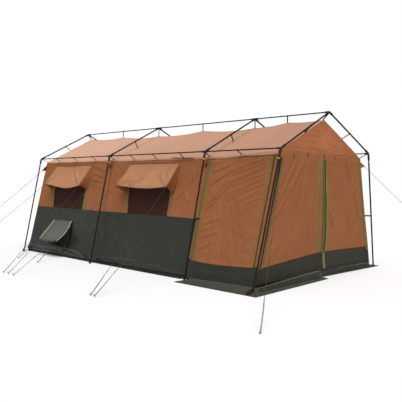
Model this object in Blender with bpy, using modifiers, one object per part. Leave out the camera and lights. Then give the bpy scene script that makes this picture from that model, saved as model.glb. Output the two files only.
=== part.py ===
"""Large frame tent: an outside frame of steel poles with the cloth body hung under it.

Metres, +Z up. X runs along the tent, with the porch at +X. The near long side is at -Y.
The origin is on the ground under the cabin floor, halfway between the two end arches.
"""

import math

import bmesh
import bpy
from mathutils import Matrix, Vector

# Frame: four arches, so three bays
BAY_BACK = 2.41
BAY_MIDDLE = 2.41
BAY_PORCH = 1.41
EAVE_HALF = 1.18
EAVE_HEIGHT = 1.90
RIDGE_HEIGHT = 2.475
FOOT_HALF = 1.615
BACK_FOOT_LEAN = 0.03
FRONT_FOOT_LEAN = 0.12

# Tubes and their plug-in joints
LEG_DIAMETER = 0.025
RAIL_DIAMETER = 0.019
TUBE_WALL = 0.0012
PLUG_CLEARANCE = 0.0004
PLUG_DEPTH = 0.045
SOCKET_WALL = 0.0045
ELBOW_ARM = 0.10
ELBOW_BEND = 0.03
HUB_ARM = 0.075
RAIL_SOCKET_ARM = 0.065
FOOT_CAP_DIAMETER = 0.044
FOOT_CAP_HEIGHT = 0.030
FOOT_CAP_WALL = 0.003

# Cloth body, hung inside the frame by these distances
EAVE_INSET = 0.104
EAVE_DROP = 0.085
RIDGE_DROP = 0.104
BASE_INSET = 0.099
BODY_EAVE_HALF = EAVE_HALF - EAVE_INSET
BODY_EAVE_HEIGHT = EAVE_HEIGHT - EAVE_DROP
BODY_RIDGE_HEIGHT = RIDGE_HEIGHT - RIDGE_DROP
BODY_BASE_HALF = FOOT_HALF - BASE_INSET
BACK_WALL_INSET = 0.015
FRONT_TOP_SETBACK = 0.085
FRONT_BASE_SETBACK = 0.160
CLOTH = 0.004
ROOF_SAG = 0.028
RIDGE_SAG = 0.026
DIVIDER_DROP = 0.002
FOLD_DEPTH = 0.014
SEAM_GAP = 0.0003
OVERCUT = 0.05
ZIP_GAP = 0.003

# Cabin floor, a tub with turned-up sides
TUB_HEIGHT = 0.075

# Dado, windows and their awnings
WINDOW_WIDTH = 1.07
WINDOW_BOTTOM = 0.925
WINDOW_TOP = BODY_EAVE_HEIGHT - 0.115
WINDOW_SHIFT = -0.05
MESH_RECESS = 0.0015
AWNING_WIDTH = 1.26
AWNING_SHIFTS = (-0.095, -0.065)
AWNING_LENGTH = 0.472
AWNING_TOP = BODY_EAVE_HEIGHT - 0.080
AWNING_OPEN_DEG = 24.7
AWNING_SAG = 0.009
HEM_SAG = 0.035

# Low vent with its flap, near side of the back bay
VENT_CENTRE = -2.008
VENT_WIDTH = 0.636
VENT_TOP = 0.675
VENT_LENGTH = 0.482
VENT_OPEN_DEG = 30.0
VENT_MARGIN = 0.05

# Porch doors and panels
PORCH_PANEL_BACK = 0.035
CORNER_STRIP = 0.090
SILL_TOP = 0.295
PANEL_TOP = BODY_EAVE_HEIGHT - 0.040
DOOR_TOP = BODY_EAVE_HEIGHT - 0.025
DOOR_BOTTOM = 0.112
DOOR_CORNER_STRIP = 0.060
SHELL_BOTTOM = 0.060

# Inner wall between cabin and porch
DOORWAY_WIDTH = 0.95
DOORWAY_BOTTOM = 0.13
DOORWAY_TOP = BODY_EAVE_HEIGHT - 0.115

# Zip sliders: a grooved body that straddles the cloth's edge, and a pull
SLIDER_LENGTH = 0.016
SLIDER_WIDTH = 0.010
SLIDER_PLATE = 0.0015
PULL_LENGTH = 0.030
PULL_THICKNESS = 0.0015
SLIDER_HEIGHT = 0.045

# Ground flap round the porch
FLAP_NEAR_HALF = 1.805
FLAP_FAR_HALF = 1.690
FLAP_FRONT_NEAR = 0.092
FLAP_FRONT_FAR = -0.055
FLAP_APRON = 0.35
FLAP_WAVE = 0.007
NOTCH_CLEARANCE = 0.004

# Straps between frame and cloth
STRAP_WIDTH = 0.020
STRAP_THICKNESS = 0.003
COLLAR_WALL = 0.0025
EAVE_STRAP_INSET = 0.020
ROOF_STRAP_LEAN = 0.12
DADO_STRAP_HEIGHT = 0.87
FOOT_STRAP_HEIGHT = 0.018

# Guy-out tabs
TAB_TOP = BODY_EAVE_HEIGHT - 0.030
TAB_BOTTOM = BODY_EAVE_HEIGHT - 0.240
TAB_TIP = 0.008

# Guy lines and the pegs that they end on
GUY_DIAMETER = 0.006
GUY_SLACK = 0.004
GUY_POINTS = 10
LINE_INSET = GUY_DIAMETER / 2
LINE_END_HEIGHT = 0.012
PEG_DIAMETER = 0.008
PEG_HEIGHT = 0.032
PEG_HOOK = 0.016

SEGMENTS = 10
NEAR = -1
FAR = 1
SIDE_NAMES = {NEAR: "near", FAR: "far"}

LEG_R = LEG_DIAMETER / 2
RAIL_R = RAIL_DIAMETER / 2
TENT_LENGTH = BAY_BACK + BAY_MIDDLE + BAY_PORCH
ARCH_X = [
    -TENT_LENGTH / 2,
    -TENT_LENGTH / 2 + BAY_BACK,
    -TENT_LENGTH / 2 + BAY_BACK + BAY_MIDDLE,
    TENT_LENGTH / 2,
]
FOOT_LEAN = [BACK_FOOT_LEAN, 0.0, 0.0, -FRONT_FOOT_LEAN]
BACK_WALL_X = ARCH_X[0] + BACK_WALL_INSET
DIVIDER_X = ARCH_X[2]
WALL_RUN = BODY_BASE_HALF - BODY_EAVE_HALF
WALL_SLOPE_LENGTH = math.hypot(WALL_RUN, BODY_EAVE_HEIGHT)
WALL_LEAN = math.atan2(WALL_RUN, BODY_EAVE_HEIGHT)
ROOF_RISE = BODY_RIDGE_HEIGHT - BODY_EAVE_HEIGHT
ROOF_PITCH = math.atan2(ROOF_RISE, BODY_EAVE_HALF)
WALL_FOOT = TUB_HEIGHT + SEAM_GAP + CLOTH * math.sin(WALL_LEAN)

# Guy lines: where each one's peg stands
PEGS = {
    "guy_line_near_1": (-3.380, -3.180),
    "guy_line_near_2": (-0.666, -3.161),
    "guy_line_near_3": (1.723, -3.199),
    "guy_line_near_4": (4.289, -3.068),
    "guy_line_far_4": (3.990, 3.070),
    "guy_line_awning_back_left": (-2.760, -3.180),
    "guy_line_awning_back_right": (-0.827, -3.161),
    "guy_line_awning_middle_left": (-0.472, -3.174),
    "guy_line_awning_middle_right": (1.630, -3.196),
    "guy_line_vent_left": (-2.167, -2.212),
    "guy_line_vent_right": (-1.400, -2.246),
}

# The lines on seam tabs start here: past the arch, out from the eave, and down from it
TAB_LINES = {
    "guy_line_near_1": (0.043, 0.111, 0.163),
    "guy_line_near_2": (-0.041, 0.091, 0.113),
    "guy_line_near_3": (-0.026, 0.091, 0.137),
    "guy_line_near_4": (-0.024, 0.071, 0.140),
    "guy_line_far_4": (-0.074, 0.116, 0.125),
}


def clear_scene():
    for obj in list(bpy.data.objects):
        bpy.data.objects.remove(obj)


def new_collection(name):
    collection = bpy.data.collections.new(name)
    bpy.context.scene.collection.children.link(collection)
    return collection


clear_scene()
PARTS = new_collection("frame_tent")
TOOLS = new_collection("frame_tent_cutters")


def material(name, color, roughness, metallic=0.0):
    made = bpy.data.materials.new(name)
    made.use_nodes = True
    shader = made.node_tree.nodes["Principled BSDF"]
    shader.inputs["Base Color"].default_value = (*color, 1.0)
    shader.inputs["Roughness"].default_value = roughness
    shader.inputs["Metallic"].default_value = metallic
    return made


STEEL = material("dark_steel_tube", (0.028, 0.024, 0.022), 0.42, 0.8)
MOULDING = material("black_moulding", (0.015, 0.015, 0.016), 0.5)
WEBBING = material("dark_webbing", (0.03, 0.02, 0.022), 0.85)
ORANGE_WALL = material("orange_wall_cloth", (0.36, 0.125, 0.045), 0.8)
ORANGE_ROOF = material("orange_roof_cloth", (0.50, 0.215, 0.105), 0.75)
DARK_OLIVE = material("dark_olive_cloth", (0.042, 0.044, 0.032), 0.85)
FLOOR_CLOTH = material("black_floor_cloth", (0.012, 0.012, 0.012), 0.7)
GREY_GREEN = material("grey_green_cloth", (0.10, 0.11, 0.085), 0.85)
CORD = material("pale_grey_cord", (0.45, 0.45, 0.45), 0.9)


def place(name, mesh, finish, role=None):
    """Puts a mesh in the scene as a part, or as a hidden tool for a Boolean."""
    obj = bpy.data.objects.new(name, mesh)
    obj.data.materials.append(finish)
    (PARTS if role is None else TOOLS).objects.link(obj)
    if role is not None:
        obj.hide_render = True
        obj.display_type = "WIRE"
    return obj


def mesh_from(bm, name):
    mesh = bpy.data.meshes.new(name)
    bm.to_mesh(mesh)
    bm.free()
    return mesh


def smooth(obj):
    obj.data.shade_smooth()
    obj.data.set_sharp_from_angle(angle=math.radians(35))


def between(start, end):
    """Matrix that stands a Z-aligned primitive midway between two points."""
    start = Vector(start)
    axis = Vector(end) - start
    turn = axis.to_track_quat("Z", "Y").to_matrix().to_4x4()
    return Matrix.Translation(start + axis / 2) @ turn


def rod(name, start, end, radius, finish, role=None, segments=SEGMENTS, end_radius=None):
    """A solid round bar between two points, tapered if end_radius is given."""
    if end_radius is None and tuple(Vector(end)) < tuple(Vector(start)):
        start, end = end, start
    bm = bmesh.new()
    bmesh.ops.create_cone(
        bm,
        cap_ends=True,
        segments=segments,
        radius1=radius,
        radius2=radius if end_radius is None else end_radius,
        depth=(Vector(end) - Vector(start)).length,
        matrix=between(start, end),
    )
    obj = place(name, mesh_from(bm, name), finish, role)
    smooth(obj)
    return obj


def hollow(target, start, end, radius):
    """Bores a pole between two points, so that what is left is a tube."""
    name = f"{target.name}_hollow"
    cut(target, rod(name, start, end, radius - TUBE_WALL, STEEL, "tool"))


def block(name, size, matrix, finish, role=None):
    """A box of that size, centred on the matrix."""
    bm = bmesh.new()
    bmesh.ops.create_cube(bm, size=1.0, matrix=matrix @ Matrix.Diagonal((*size, 1.0)))
    return place(name, mesh_from(bm, name), finish, role)


def flat_outline(name, points, thickness, matrix, finish, role=None):
    """A flat sheet cut to an outline: the points are in the matrix's XY plane, the sheet is centred on it."""
    curve = bpy.data.curves.new(name, "CURVE")
    curve.dimensions = "2D"
    curve.fill_mode = "BOTH"
    curve.extrude = thickness / 2
    spline = curve.splines.new("POLY")
    spline.points.add(len(points) - 1)
    for point, (x, y) in zip(spline.points, points):
        point.co = (x, y, 0.0, 1.0)
    spline.use_cyclic_u = True
    return as_mesh(name, curve, finish, role, matrix)


def as_mesh(name, curve, finish, role=None, matrix=None):
    """Turns curve data into a welded mesh object."""
    guide = bpy.data.objects.new(name + "_guide", curve)
    TOOLS.objects.link(guide)
    bpy.context.view_layer.update()
    graph = bpy.context.evaluated_depsgraph_get()
    mesh = bpy.data.meshes.new_from_object(guide.evaluated_get(graph))
    bpy.data.objects.remove(guide)
    bm = bmesh.new()
    bm.from_mesh(mesh)
    bmesh.ops.remove_doubles(bm, verts=bm.verts, dist=1e-5)
    bmesh.ops.recalc_face_normals(bm, faces=bm.faces)
    bm.to_mesh(mesh)
    bm.free()
    mesh.materials.clear()
    obj = place(name, mesh, finish, role)
    if matrix is not None:
        obj.data.transform(matrix)
    return obj


def bent_rod(name, points, radius, finish, role=None, resolution=2):
    """A solid round bar along a row of points."""
    curve = bpy.data.curves.new(name, "CURVE")
    curve.dimensions = "3D"
    curve.bevel_depth = radius
    curve.bevel_resolution = resolution
    curve.use_fill_caps = True
    spline = curve.splines.new("POLY")
    spline.points.add(len(points) - 1)
    for point, place_at in zip(spline.points, points):
        point.co = (*place_at, 1.0)
    return as_mesh(name, curve, finish, role)


def combine(target, tool, operation):
    step = target.modifiers.new(tool.name, "BOOLEAN")
    step.operation = operation
    step.object = tool
    step.solver = "EXACT"


def add(target, *tools):
    for tool in tools:
        combine(target, tool, "UNION")


def cut(target, *tools):
    for tool in tools:
        combine(target, tool, "DIFFERENCE")


def cloth(name, surface, columns, rows, finish, role=None):
    """A sheet whose outer face is surface(u, v), both from 0 to 1, with the cloth's thickness behind it."""
    bm = bmesh.new()
    bmesh.ops.create_grid(bm, x_segments=columns, y_segments=rows, size=0.5)
    for vert in bm.verts:
        vert.co = surface(vert.co.x + 0.5, vert.co.y + 0.5)
    obj = place(name, mesh_from(bm, name), finish, role)
    thick = obj.modifiers.new("thickness", "SOLIDIFY")
    thick.thickness = CLOTH
    thick.offset = -1.0
    return obj


def window_weight(u, v):
    """Zero, with no slope, along all four edges of a panel, and one in its middle."""
    return (math.sin(math.pi * u) * math.sin(math.pi * v)) ** 2


# The frame's lines

def eave_point(arch, side):
    return Vector((ARCH_X[arch], side * EAVE_HALF, EAVE_HEIGHT))


def ridge_point(arch):
    return Vector((ARCH_X[arch], 0.0, RIDGE_HEIGHT))


def foot_point(arch, side):
    return Vector((ARCH_X[arch] + FOOT_LEAN[arch], side * FOOT_HALF, 0.0))


def toward(start, end, distance):
    return start + (end - start).normalized() * distance


# The cloth body's faces

def wall_half(height):
    """Half the body's outer width at a height, up to its eaves."""
    return BODY_BASE_HALF - WALL_RUN * height / BODY_EAVE_HEIGHT


def wall_normal(side):
    return Vector((0.0, side * math.cos(WALL_LEAN), math.sin(WALL_LEAN)))


def wall_point(side, x, height, out=0.0):
    return Vector((x, side * wall_half(height), height)) + wall_normal(side) * out


def wall_plane(side, depth):
    """Plane of a side wall at a depth under its outer face. Local Y climbs the wall, local Z points out."""
    climb = Vector((0.0, -side * math.sin(WALL_LEAN), math.cos(WALL_LEAN)))
    normal = wall_normal(side)
    along = climb.cross(normal)
    base = Vector((0.0, side * BODY_BASE_HALF, 0.0)) - normal * depth
    turn = Matrix((along, climb, normal)).transposed().to_4x4()
    return Matrix.Translation(base) @ turn


def on_wall(side, x, height):
    """The flat coordinates of a wall point, for wall_plane."""
    return (-side * x, height / math.cos(WALL_LEAN))


def front_x(height):
    share = height / BODY_EAVE_HEIGHT
    setback = FRONT_BASE_SETBACK + (FRONT_TOP_SETBACK - FRONT_BASE_SETBACK) * share
    return ARCH_X[3] - setback


def roof_height(y):
    return BODY_RIDGE_HEIGHT - ROOF_RISE * abs(y) / BODY_EAVE_HALF


def roof_normal(side):
    return Vector((0.0, side * math.sin(ROOF_PITCH), math.cos(ROOF_PITCH)))


ROOF_SEAT = (CLOTH + 2 * SEAM_GAP) / math.cos(ROOF_PITCH)


def gable_outline(bottom, side_inset=0.0, roof_lift=-ROOF_SEAT):
    """Section of the body across the tent as (y, z) points, up to roof_lift above the roof's face."""
    base = BODY_BASE_HALF - side_inset / math.cos(WALL_LEAN)
    run = WALL_RUN / BODY_EAVE_HEIGHT
    pitch = ROOF_RISE / BODY_EAVE_HALF
    peak = BODY_RIDGE_HEIGHT + roof_lift
    eave = (peak - pitch * base) / (1 - pitch * run)
    return [
        (-(base - run * bottom), bottom),
        (base - run * bottom, bottom),
        (base - run * eave, eave),
        (0.0, peak),
        (-(base - run * eave), eave),
    ]


def cross_plane(x):
    """Plane across the tent at x. Local X is the tent's Y, local Y is up."""
    turn = Matrix(((0, 0, 1), (1, 0, 0), (0, 1, 0))).to_4x4()
    return Matrix.Translation((x, 0.0, 0.0)) @ turn


FRONT_LEAN = math.atan2(FRONT_BASE_SETBACK - FRONT_TOP_SETBACK, BODY_EAVE_HEIGHT)


def front_plane(depth):
    """The front wall's plane at a depth under its outer face. Local X is the tent's Y, local Y climbs the wall."""
    lean = Matrix.Rotation(FRONT_LEAN, 4, "Y")
    return (
        Matrix.Translation((front_x(0.0), 0.0, 0.0))
        @ lean
        @ cross_plane(-depth)
    )


# Straps and sockets that go on the poles

def strap_to(name, start, end, normal, finish=WEBBING):
    """A flat strap from a pole to just above a face with that normal, STRAP_WIDTH wide along X."""
    start = Vector(start)
    end = Vector(end)
    normal = Vector(normal)
    axis = (start - end).normalized()
    thin = axis.cross(Vector((1.0, 0.0, 0.0))).normalized()
    wide = thin.cross(axis)
    dip = STRAP_WIDTH / 2 * abs(wide.dot(normal)) + STRAP_THICKNESS / 2 * abs(thin.dot(normal))
    low = end + axis * (SEAM_GAP + dip) / axis.dot(normal)
    turn = Matrix((wide, thin, axis)).transposed().to_4x4()
    size = (STRAP_WIDTH, STRAP_THICKNESS, (start - low).length)
    return block(name, size, Matrix.Translation((start + low) / 2) @ turn, finish, "tool")


def collar(name, centre, axis, radius):
    """The strap's loop round a pole."""
    half = Vector(axis).normalized() * STRAP_WIDTH / 2
    return rod(name, centre - half, centre + half, radius + COLLAR_WALL, WEBBING, "tool")


def hang_strap(target, centre, axis, radius, end, normal):
    """Adds a loop round the pole and its strap down to the cloth."""
    name = f"{target.name}_strap_{len(target.modifiers)}"
    add(target, collar(name + "_loop", centre, axis, radius), strap_to(name, centre, end, normal))


def socket_bore(target, mouth, inward, radius):
    """Cuts the blind hole that a tube plugs into."""
    name = f"{target.name}_bore_{len(target.modifiers)}"
    outside = mouth - inward * PLUG_DEPTH
    bottom = mouth + inward * (PLUG_DEPTH + PLUG_CLEARANCE)
    cut(target, rod(name, outside, bottom, radius + PLUG_CLEARANCE, MOULDING, "tool"))


def roof_strap_end(x, side):
    y = side * (BODY_EAVE_HALF - EAVE_STRAP_INSET)
    return Vector((x, y, roof_height(y)))


# Poles

def rail_stations(arch):
    """The directions along X in which an arch has rails."""
    found = []
    if arch > 0:
        found.append(-1)
    if arch < 3:
        found.append(1)
    return found


def make_rafter(arch, side):
    """A sloping roof pole with its moulded eave elbow riveted on."""
    corner = eave_point(arch, side)
    top = ridge_point(arch)
    foot = foot_point(arch, side)
    up = (top - corner).normalized()
    down = (foot - corner).normalized()
    name = f"rafter_{SIDE_NAMES[side]}_{arch + 1}"
    upper_end = top - up * (HUB_ARM - PLUG_DEPTH)
    rafter = rod(name, corner + up * ELBOW_ARM * 0.6, upper_end, LEG_R, STEEL)
    elbow_r = LEG_R + SOCKET_WALL
    route = [corner + up * ELBOW_ARM, corner + up * ELBOW_BEND]
    route += [corner + (up + down) * ELBOW_BEND * 0.32]
    route += [corner + down * ELBOW_BEND, corner + down * ELBOW_ARM]
    add(rafter, bent_rod(name + "_elbow", route, elbow_r, MOULDING, "tool", 3))
    for direction in rail_stations(arch):
        reach = Vector((direction, 0.0, 0.0))
        end = corner + reach * RAIL_SOCKET_ARM
        add(rafter, rod(f"{name}_socket_{direction}", corner, end, RAIL_R + SOCKET_WALL, MOULDING, "tool"))
    strap_end = roof_strap_end(cloth_x(arch), side)
    add(rafter, strap_to(name + "_corner_strap", corner, strap_end, roof_normal(side)))
    for direction in rail_stations(arch):
        reach = Vector((direction, 0.0, 0.0))
        socket_bore(rafter, corner + reach * RAIL_SOCKET_ARM, -reach, RAIL_R)
    socket_bore(rafter, corner + down * ELBOW_ARM, -down, LEG_R)
    middle = (corner + top) / 2
    y = middle.y - side * math.sin(ROOF_PITCH) * ROOF_STRAP_LEAN
    mid_end = Vector((cloth_x(arch), y, roof_height(y)))
    hang_strap(rafter, middle, up, LEG_R, mid_end, roof_normal(side))
    hollow(rafter, corner + up * ELBOW_ARM, upper_end + up * PLUG_DEPTH, LEG_R)
    return rafter


def cloth_x(arch):
    """The nearest x to an arch that the roof's cloth covers."""
    margin = STRAP_WIDTH
    return min(max(ARCH_X[arch], BACK_WALL_X + margin), front_x(BODY_EAVE_HEIGHT) - margin)


def make_leg(arch, side):
    """A wall pole: its tube plugs up into the elbow and stands in a foot cap."""
    corner = eave_point(arch, side)
    foot = foot_point(arch, side)
    down = (foot - corner).normalized()
    name = f"leg_{SIDE_NAMES[side]}_{arch + 1}"
    upper_end = corner + down * (ELBOW_ARM - PLUG_DEPTH)
    lower_end = foot - down * FOOT_CAP_HEIGHT * 0.5
    leg = rod(name, lower_end, upper_end, LEG_R, STEEL)
    lift = Vector((0.0, 0.0, FOOT_CAP_HEIGHT))
    cap_r = FOOT_CAP_DIAMETER / 2
    add(leg, rod(name + "_cap", foot, foot + lift, cap_r, MOULDING, "tool", end_radius=LEG_R + FOOT_CAP_WALL))
    if arch < 2:
        start = foot + Vector((0.0, 0.0, FOOT_STRAP_HEIGHT))
        x = max(start.x, BACK_WALL_X + STRAP_WIDTH)
        end = wall_point(side, x, FOOT_STRAP_HEIGHT)
        add(leg, strap_to(name + "_foot_strap", start, end, wall_normal(side)))
    else:
        share = 1 - DADO_STRAP_HEIGHT / EAVE_HEIGHT
        centre = corner.lerp(foot, share)
        x = min(centre.x, front_x(DADO_STRAP_HEIGHT) - STRAP_WIDTH)
        end = wall_point(side, x, DADO_STRAP_HEIGHT)
        hang_strap(leg, centre, down, LEG_R, end, wall_normal(side))
    hollow(leg, foot - down * FOOT_CAP_HEIGHT, upper_end - down * PLUG_DEPTH, LEG_R)
    return leg


def make_ridge_hub(arch):
    """The moulded connector at the top of an arch."""
    top = ridge_point(arch)
    name = f"ridge_hub_{arch + 1}"
    hub_r = LEG_R + SOCKET_WALL
    arms = [(eave_point(arch, side) - top).normalized() for side in (NEAR, FAR)]
    route = [top + arms[0] * HUB_ARM, top, top + arms[1] * HUB_ARM]
    hub = bent_rod(name, route, hub_r, MOULDING, None, 3)
    for direction in rail_stations(arch):
        end = top + Vector((direction * RAIL_SOCKET_ARM, 0.0, 0.0))
        add(hub, rod(f"{name}_socket_{direction}", top, end, RAIL_R + SOCKET_WALL, MOULDING, "tool"))
    strap_end = Vector((cloth_x(arch), 0.0, BODY_RIDGE_HEIGHT))
    add(hub, strap_to(name + "_strap", top, strap_end, (0.0, 0.0, 1.0)))
    for arm in arms:
        socket_bore(hub, top + arm * HUB_ARM, -arm, LEG_R)
    for direction in rail_stations(arch):
        reach = Vector((direction, 0.0, 0.0))
        socket_bore(hub, top + reach * RAIL_SOCKET_ARM, -reach, RAIL_R)
    smooth(hub)
    return hub


def make_long_pole(name, start, end, strap_shares, strap_end, normal):
    """A ridge pole or an eave rail, with the straps that the cloth hangs from."""
    axis = (end - start).normalized()
    inset = RAIL_SOCKET_ARM - PLUG_DEPTH
    pole = rod(name, start + axis * inset, end - axis * inset, RAIL_R, STEEL)
    for share in strap_shares:
        centre = start.lerp(end, share)
        hang_strap(pole, centre, axis, RAIL_R, strap_end(centre.x), normal)
    hollow(pole, start, end, RAIL_R)
    return pole


BAY_NAMES = ("back", "middle", "porch")
EAVE_STRAPS = ((0.25, 0.5, 0.75), (0.25, 0.5, 0.75), (0.5,))


def make_frame():
    for arch in range(4):
        for side in (NEAR, FAR):
            make_leg(arch, side)
            make_rafter(arch, side)
        make_ridge_hub(arch)
    for bay, bay_name in enumerate(BAY_NAMES):
        make_long_pole(
            f"ridge_pole_{bay_name}",
            ridge_point(bay),
            ridge_point(bay + 1),
            (0.5,),
            lambda x: Vector((x, 0.0, BODY_RIDGE_HEIGHT)),
            (0.0, 0.0, 1.0),
        )
        for side in (NEAR, FAR):
            make_long_pole(
                f"eave_rail_{SIDE_NAMES[side]}_{bay_name}",
                eave_point(bay, side),
                eave_point(bay + 1, side),
                EAVE_STRAPS[bay],
                lambda x, side=side: roof_strap_end(x, side),
                roof_normal(side),
            )


# Cloth body

ROOF_COLUMNS = (8, 8, 6)


def roof_column(column):
    """The bay that one of the roof's grid lines is in, and its share of the way through that bay."""
    for bay, columns in enumerate(ROOF_COLUMNS):
        if column <= columns:
            return bay, column / columns
        column -= columns
    return len(ROOF_COLUMNS) - 1, 1.0


def roof_surface(u, v):
    """The roof's outer face: held up by straps at every arch and halfway between, and sagging off them."""
    y = BODY_EAVE_HALF * (2 * v - 1)
    height = roof_height(y)
    ends = [BACK_WALL_X, ARCH_X[1], ARCH_X[2], front_x(height)]
    bay, share = roof_column(round(u * sum(ROOF_COLUMNS)))
    span = ends[bay + 1] - ends[bay]
    slope_share = abs(y) / BODY_EAVE_HALF
    sag = ROOF_SAG * math.sin(math.pi * slope_share) * math.sin(math.pi * share) ** 2
    half = 2 * share - math.floor(2 * share)
    dip = RIDGE_SAG * span / BAY_MIDDLE * 4 * half * (1 - half) * (1 - slope_share)
    return Vector((ends[bay] + span * share, y, height - sag - dip))


def make_roof():
    return cloth("roof_cloth", roof_surface, sum(ROOF_COLUMNS), 8, ORANGE_ROOF)


def wall_slab(name, side, corners, finish, role=None, thickness=CLOTH, depth=CLOTH / 2):
    """A flat panel in a side wall; corners are (x, height) in order round it."""
    points = [on_wall(side, x, height) for x, height in corners]
    if side == FAR:
        points.reverse()
    return flat_outline(name, points, thickness, wall_plane(side, depth), finish, role)


def window_centre(bay):
    return (ARCH_X[bay] + ARCH_X[bay + 1]) / 2 + WINDOW_SHIFT


def awning_centre(bay):
    return (ARCH_X[bay] + ARCH_X[bay + 1]) / 2 + AWNING_SHIFTS[bay]


def window_cutter(name, side, bay):
    """Sinks the mesh of a window a little under the wall's face."""
    centre = window_centre(bay)
    low = centre - WINDOW_WIDTH / 2
    high = centre + WINDOW_WIDTH / 2
    corners = [(low, WINDOW_BOTTOM), (high, WINDOW_BOTTOM), (high, WINDOW_TOP), (low, WINDOW_TOP)]
    return wall_slab(name, side, corners, ORANGE_WALL, "tool", CLOTH, MESH_RECESS - CLOTH / 2)


def guy_tab(name, side, x, tip, pull):
    """A tab sewn to a wall at x. Its blunt tip faces the way that its guy line pulls."""
    low = wall_point(side, x, TAB_BOTTOM, -CLOTH / 2)
    high = wall_point(side, x, TAB_TOP, -CLOTH / 2)
    along = (high - low).normalized()
    out = tip - low
    normal = along.cross(out).normalized()
    across = normal.cross(along)
    turn = Matrix((across, along, normal)).transposed().to_4x4()
    flat = Vector((out.dot(across), out.dot(along)))
    face = Vector((-pull.dot(along), pull.dot(across))).normalized() * TAB_TIP / 2
    points = [(0.0, 0.0), flat - face, flat + face, (0.0, (high - low).length)]
    return flat_outline(name, points, CLOTH, Matrix.Translation(low) @ turn, ORANGE_WALL, "tool")


def make_cabin_wall(side):
    """Long wall of the cabin, from the back wall to the porch."""
    name = f"cabin_wall_{SIDE_NAMES[side]}"
    low = WALL_FOOT
    high = BODY_EAVE_HEIGHT - ROOF_SEAT
    back = BACK_WALL_X + CLOTH + SEAM_GAP
    front = DIVIDER_X - SEAM_GAP
    corners = [(back, low), (front, low), (front, high), (back, high)]
    wall = wall_slab(name, side, corners, ORANGE_WALL)
    for bay in (0, 1):
        cut(wall, window_cutter(f"{name}_window_{bay}", side, bay))
    if side == NEAR:
        cut(wall, vent_cutter(name + "_vent"))
    return wall


def vent_cutter(name):
    low = VENT_CENTRE - VENT_WIDTH / 2 + VENT_MARGIN
    high = VENT_CENTRE + VENT_WIDTH / 2 - VENT_MARGIN
    top = VENT_TOP - VENT_MARGIN
    bottom = VENT_TOP - VENT_LENGTH * math.cos(WALL_LEAN) + VENT_MARGIN
    corners = [(low, bottom), (high, bottom), (high, top), (low, top)]
    return wall_slab(name, NEAR, corners, ORANGE_WALL, "tool", CLOTH, MESH_RECESS - CLOTH / 2)


def make_back_wall():
    low = TUB_HEIGHT + SEAM_GAP
    return flat_outline(
        "back_wall",
        gable_outline(low),
        CLOTH,
        cross_plane(BACK_WALL_X + CLOTH / 2),
        ORANGE_WALL,
    )


def make_divider():
    """Inner wall between cabin and porch, with a doorway."""
    low = TUB_HEIGHT + SEAM_GAP
    x = DIVIDER_X - CLOTH / 2 - SEAM_GAP
    inset = CLOTH + SEAM_GAP
    outline = gable_outline(low, inset, -ROOF_SEAT - DIVIDER_DROP)
    wall = flat_outline("divider_wall", outline, CLOTH, cross_plane(x), ORANGE_WALL)
    width = DOORWAY_WIDTH / 2
    doorway = [(-width, DOORWAY_BOTTOM), (width, DOORWAY_BOTTOM), (width, DOORWAY_TOP), (-width, DOORWAY_TOP)]
    cut(wall, flat_outline("divider_doorway", doorway, CLOTH * 4, cross_plane(x), ORANGE_WALL, "tool"))
    leaf_width = width - ZIP_GAP
    leaf = [
        (-width + SEAM_GAP, DOORWAY_BOTTOM + ZIP_GAP),
        (leaf_width, DOORWAY_BOTTOM + ZIP_GAP),
        (leaf_width, DOORWAY_TOP - ZIP_GAP),
        (-width + SEAM_GAP, DOORWAY_TOP - ZIP_GAP),
    ]
    flat_outline("divider_door", leaf, CLOTH, cross_plane(x), ORANGE_WALL)
    return wall


def floor_section(inset, bottom, top):
    shift = inset / math.cos(WALL_LEAN)
    return [
        (-(wall_half(bottom) - shift), bottom),
        (wall_half(bottom) - shift, bottom),
        (wall_half(top) - shift, top),
        (-(wall_half(top) - shift), top),
    ]


def make_floor():
    """The sewn-in cabin floor: a shallow tub."""
    back = BACK_WALL_X
    front = DIVIDER_X - SEAM_GAP
    length = front - back
    middle = cross_plane((front + back) / 2)
    tub = flat_outline("cabin_floor", floor_section(0.0, 0.0, TUB_HEIGHT), length, middle, FLOOR_CLOTH)
    hollow = floor_section(CLOTH, CLOTH, TUB_HEIGHT + CLOTH)
    cut(tub, flat_outline("floor_hollow", hollow, length - 2 * CLOTH, middle, FLOOR_CLOTH, "tool"))
    return tub


def front_slab(name, corners, finish, role=None, thickness=CLOTH, depth=CLOTH / 2):
    """A flat panel in the front wall; corners are (y, height) in order round it."""
    points = [(y, height / math.cos(FRONT_LEAN)) for y, height in corners]
    return flat_outline(name, points, thickness, front_plane(depth), finish, role)


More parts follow.
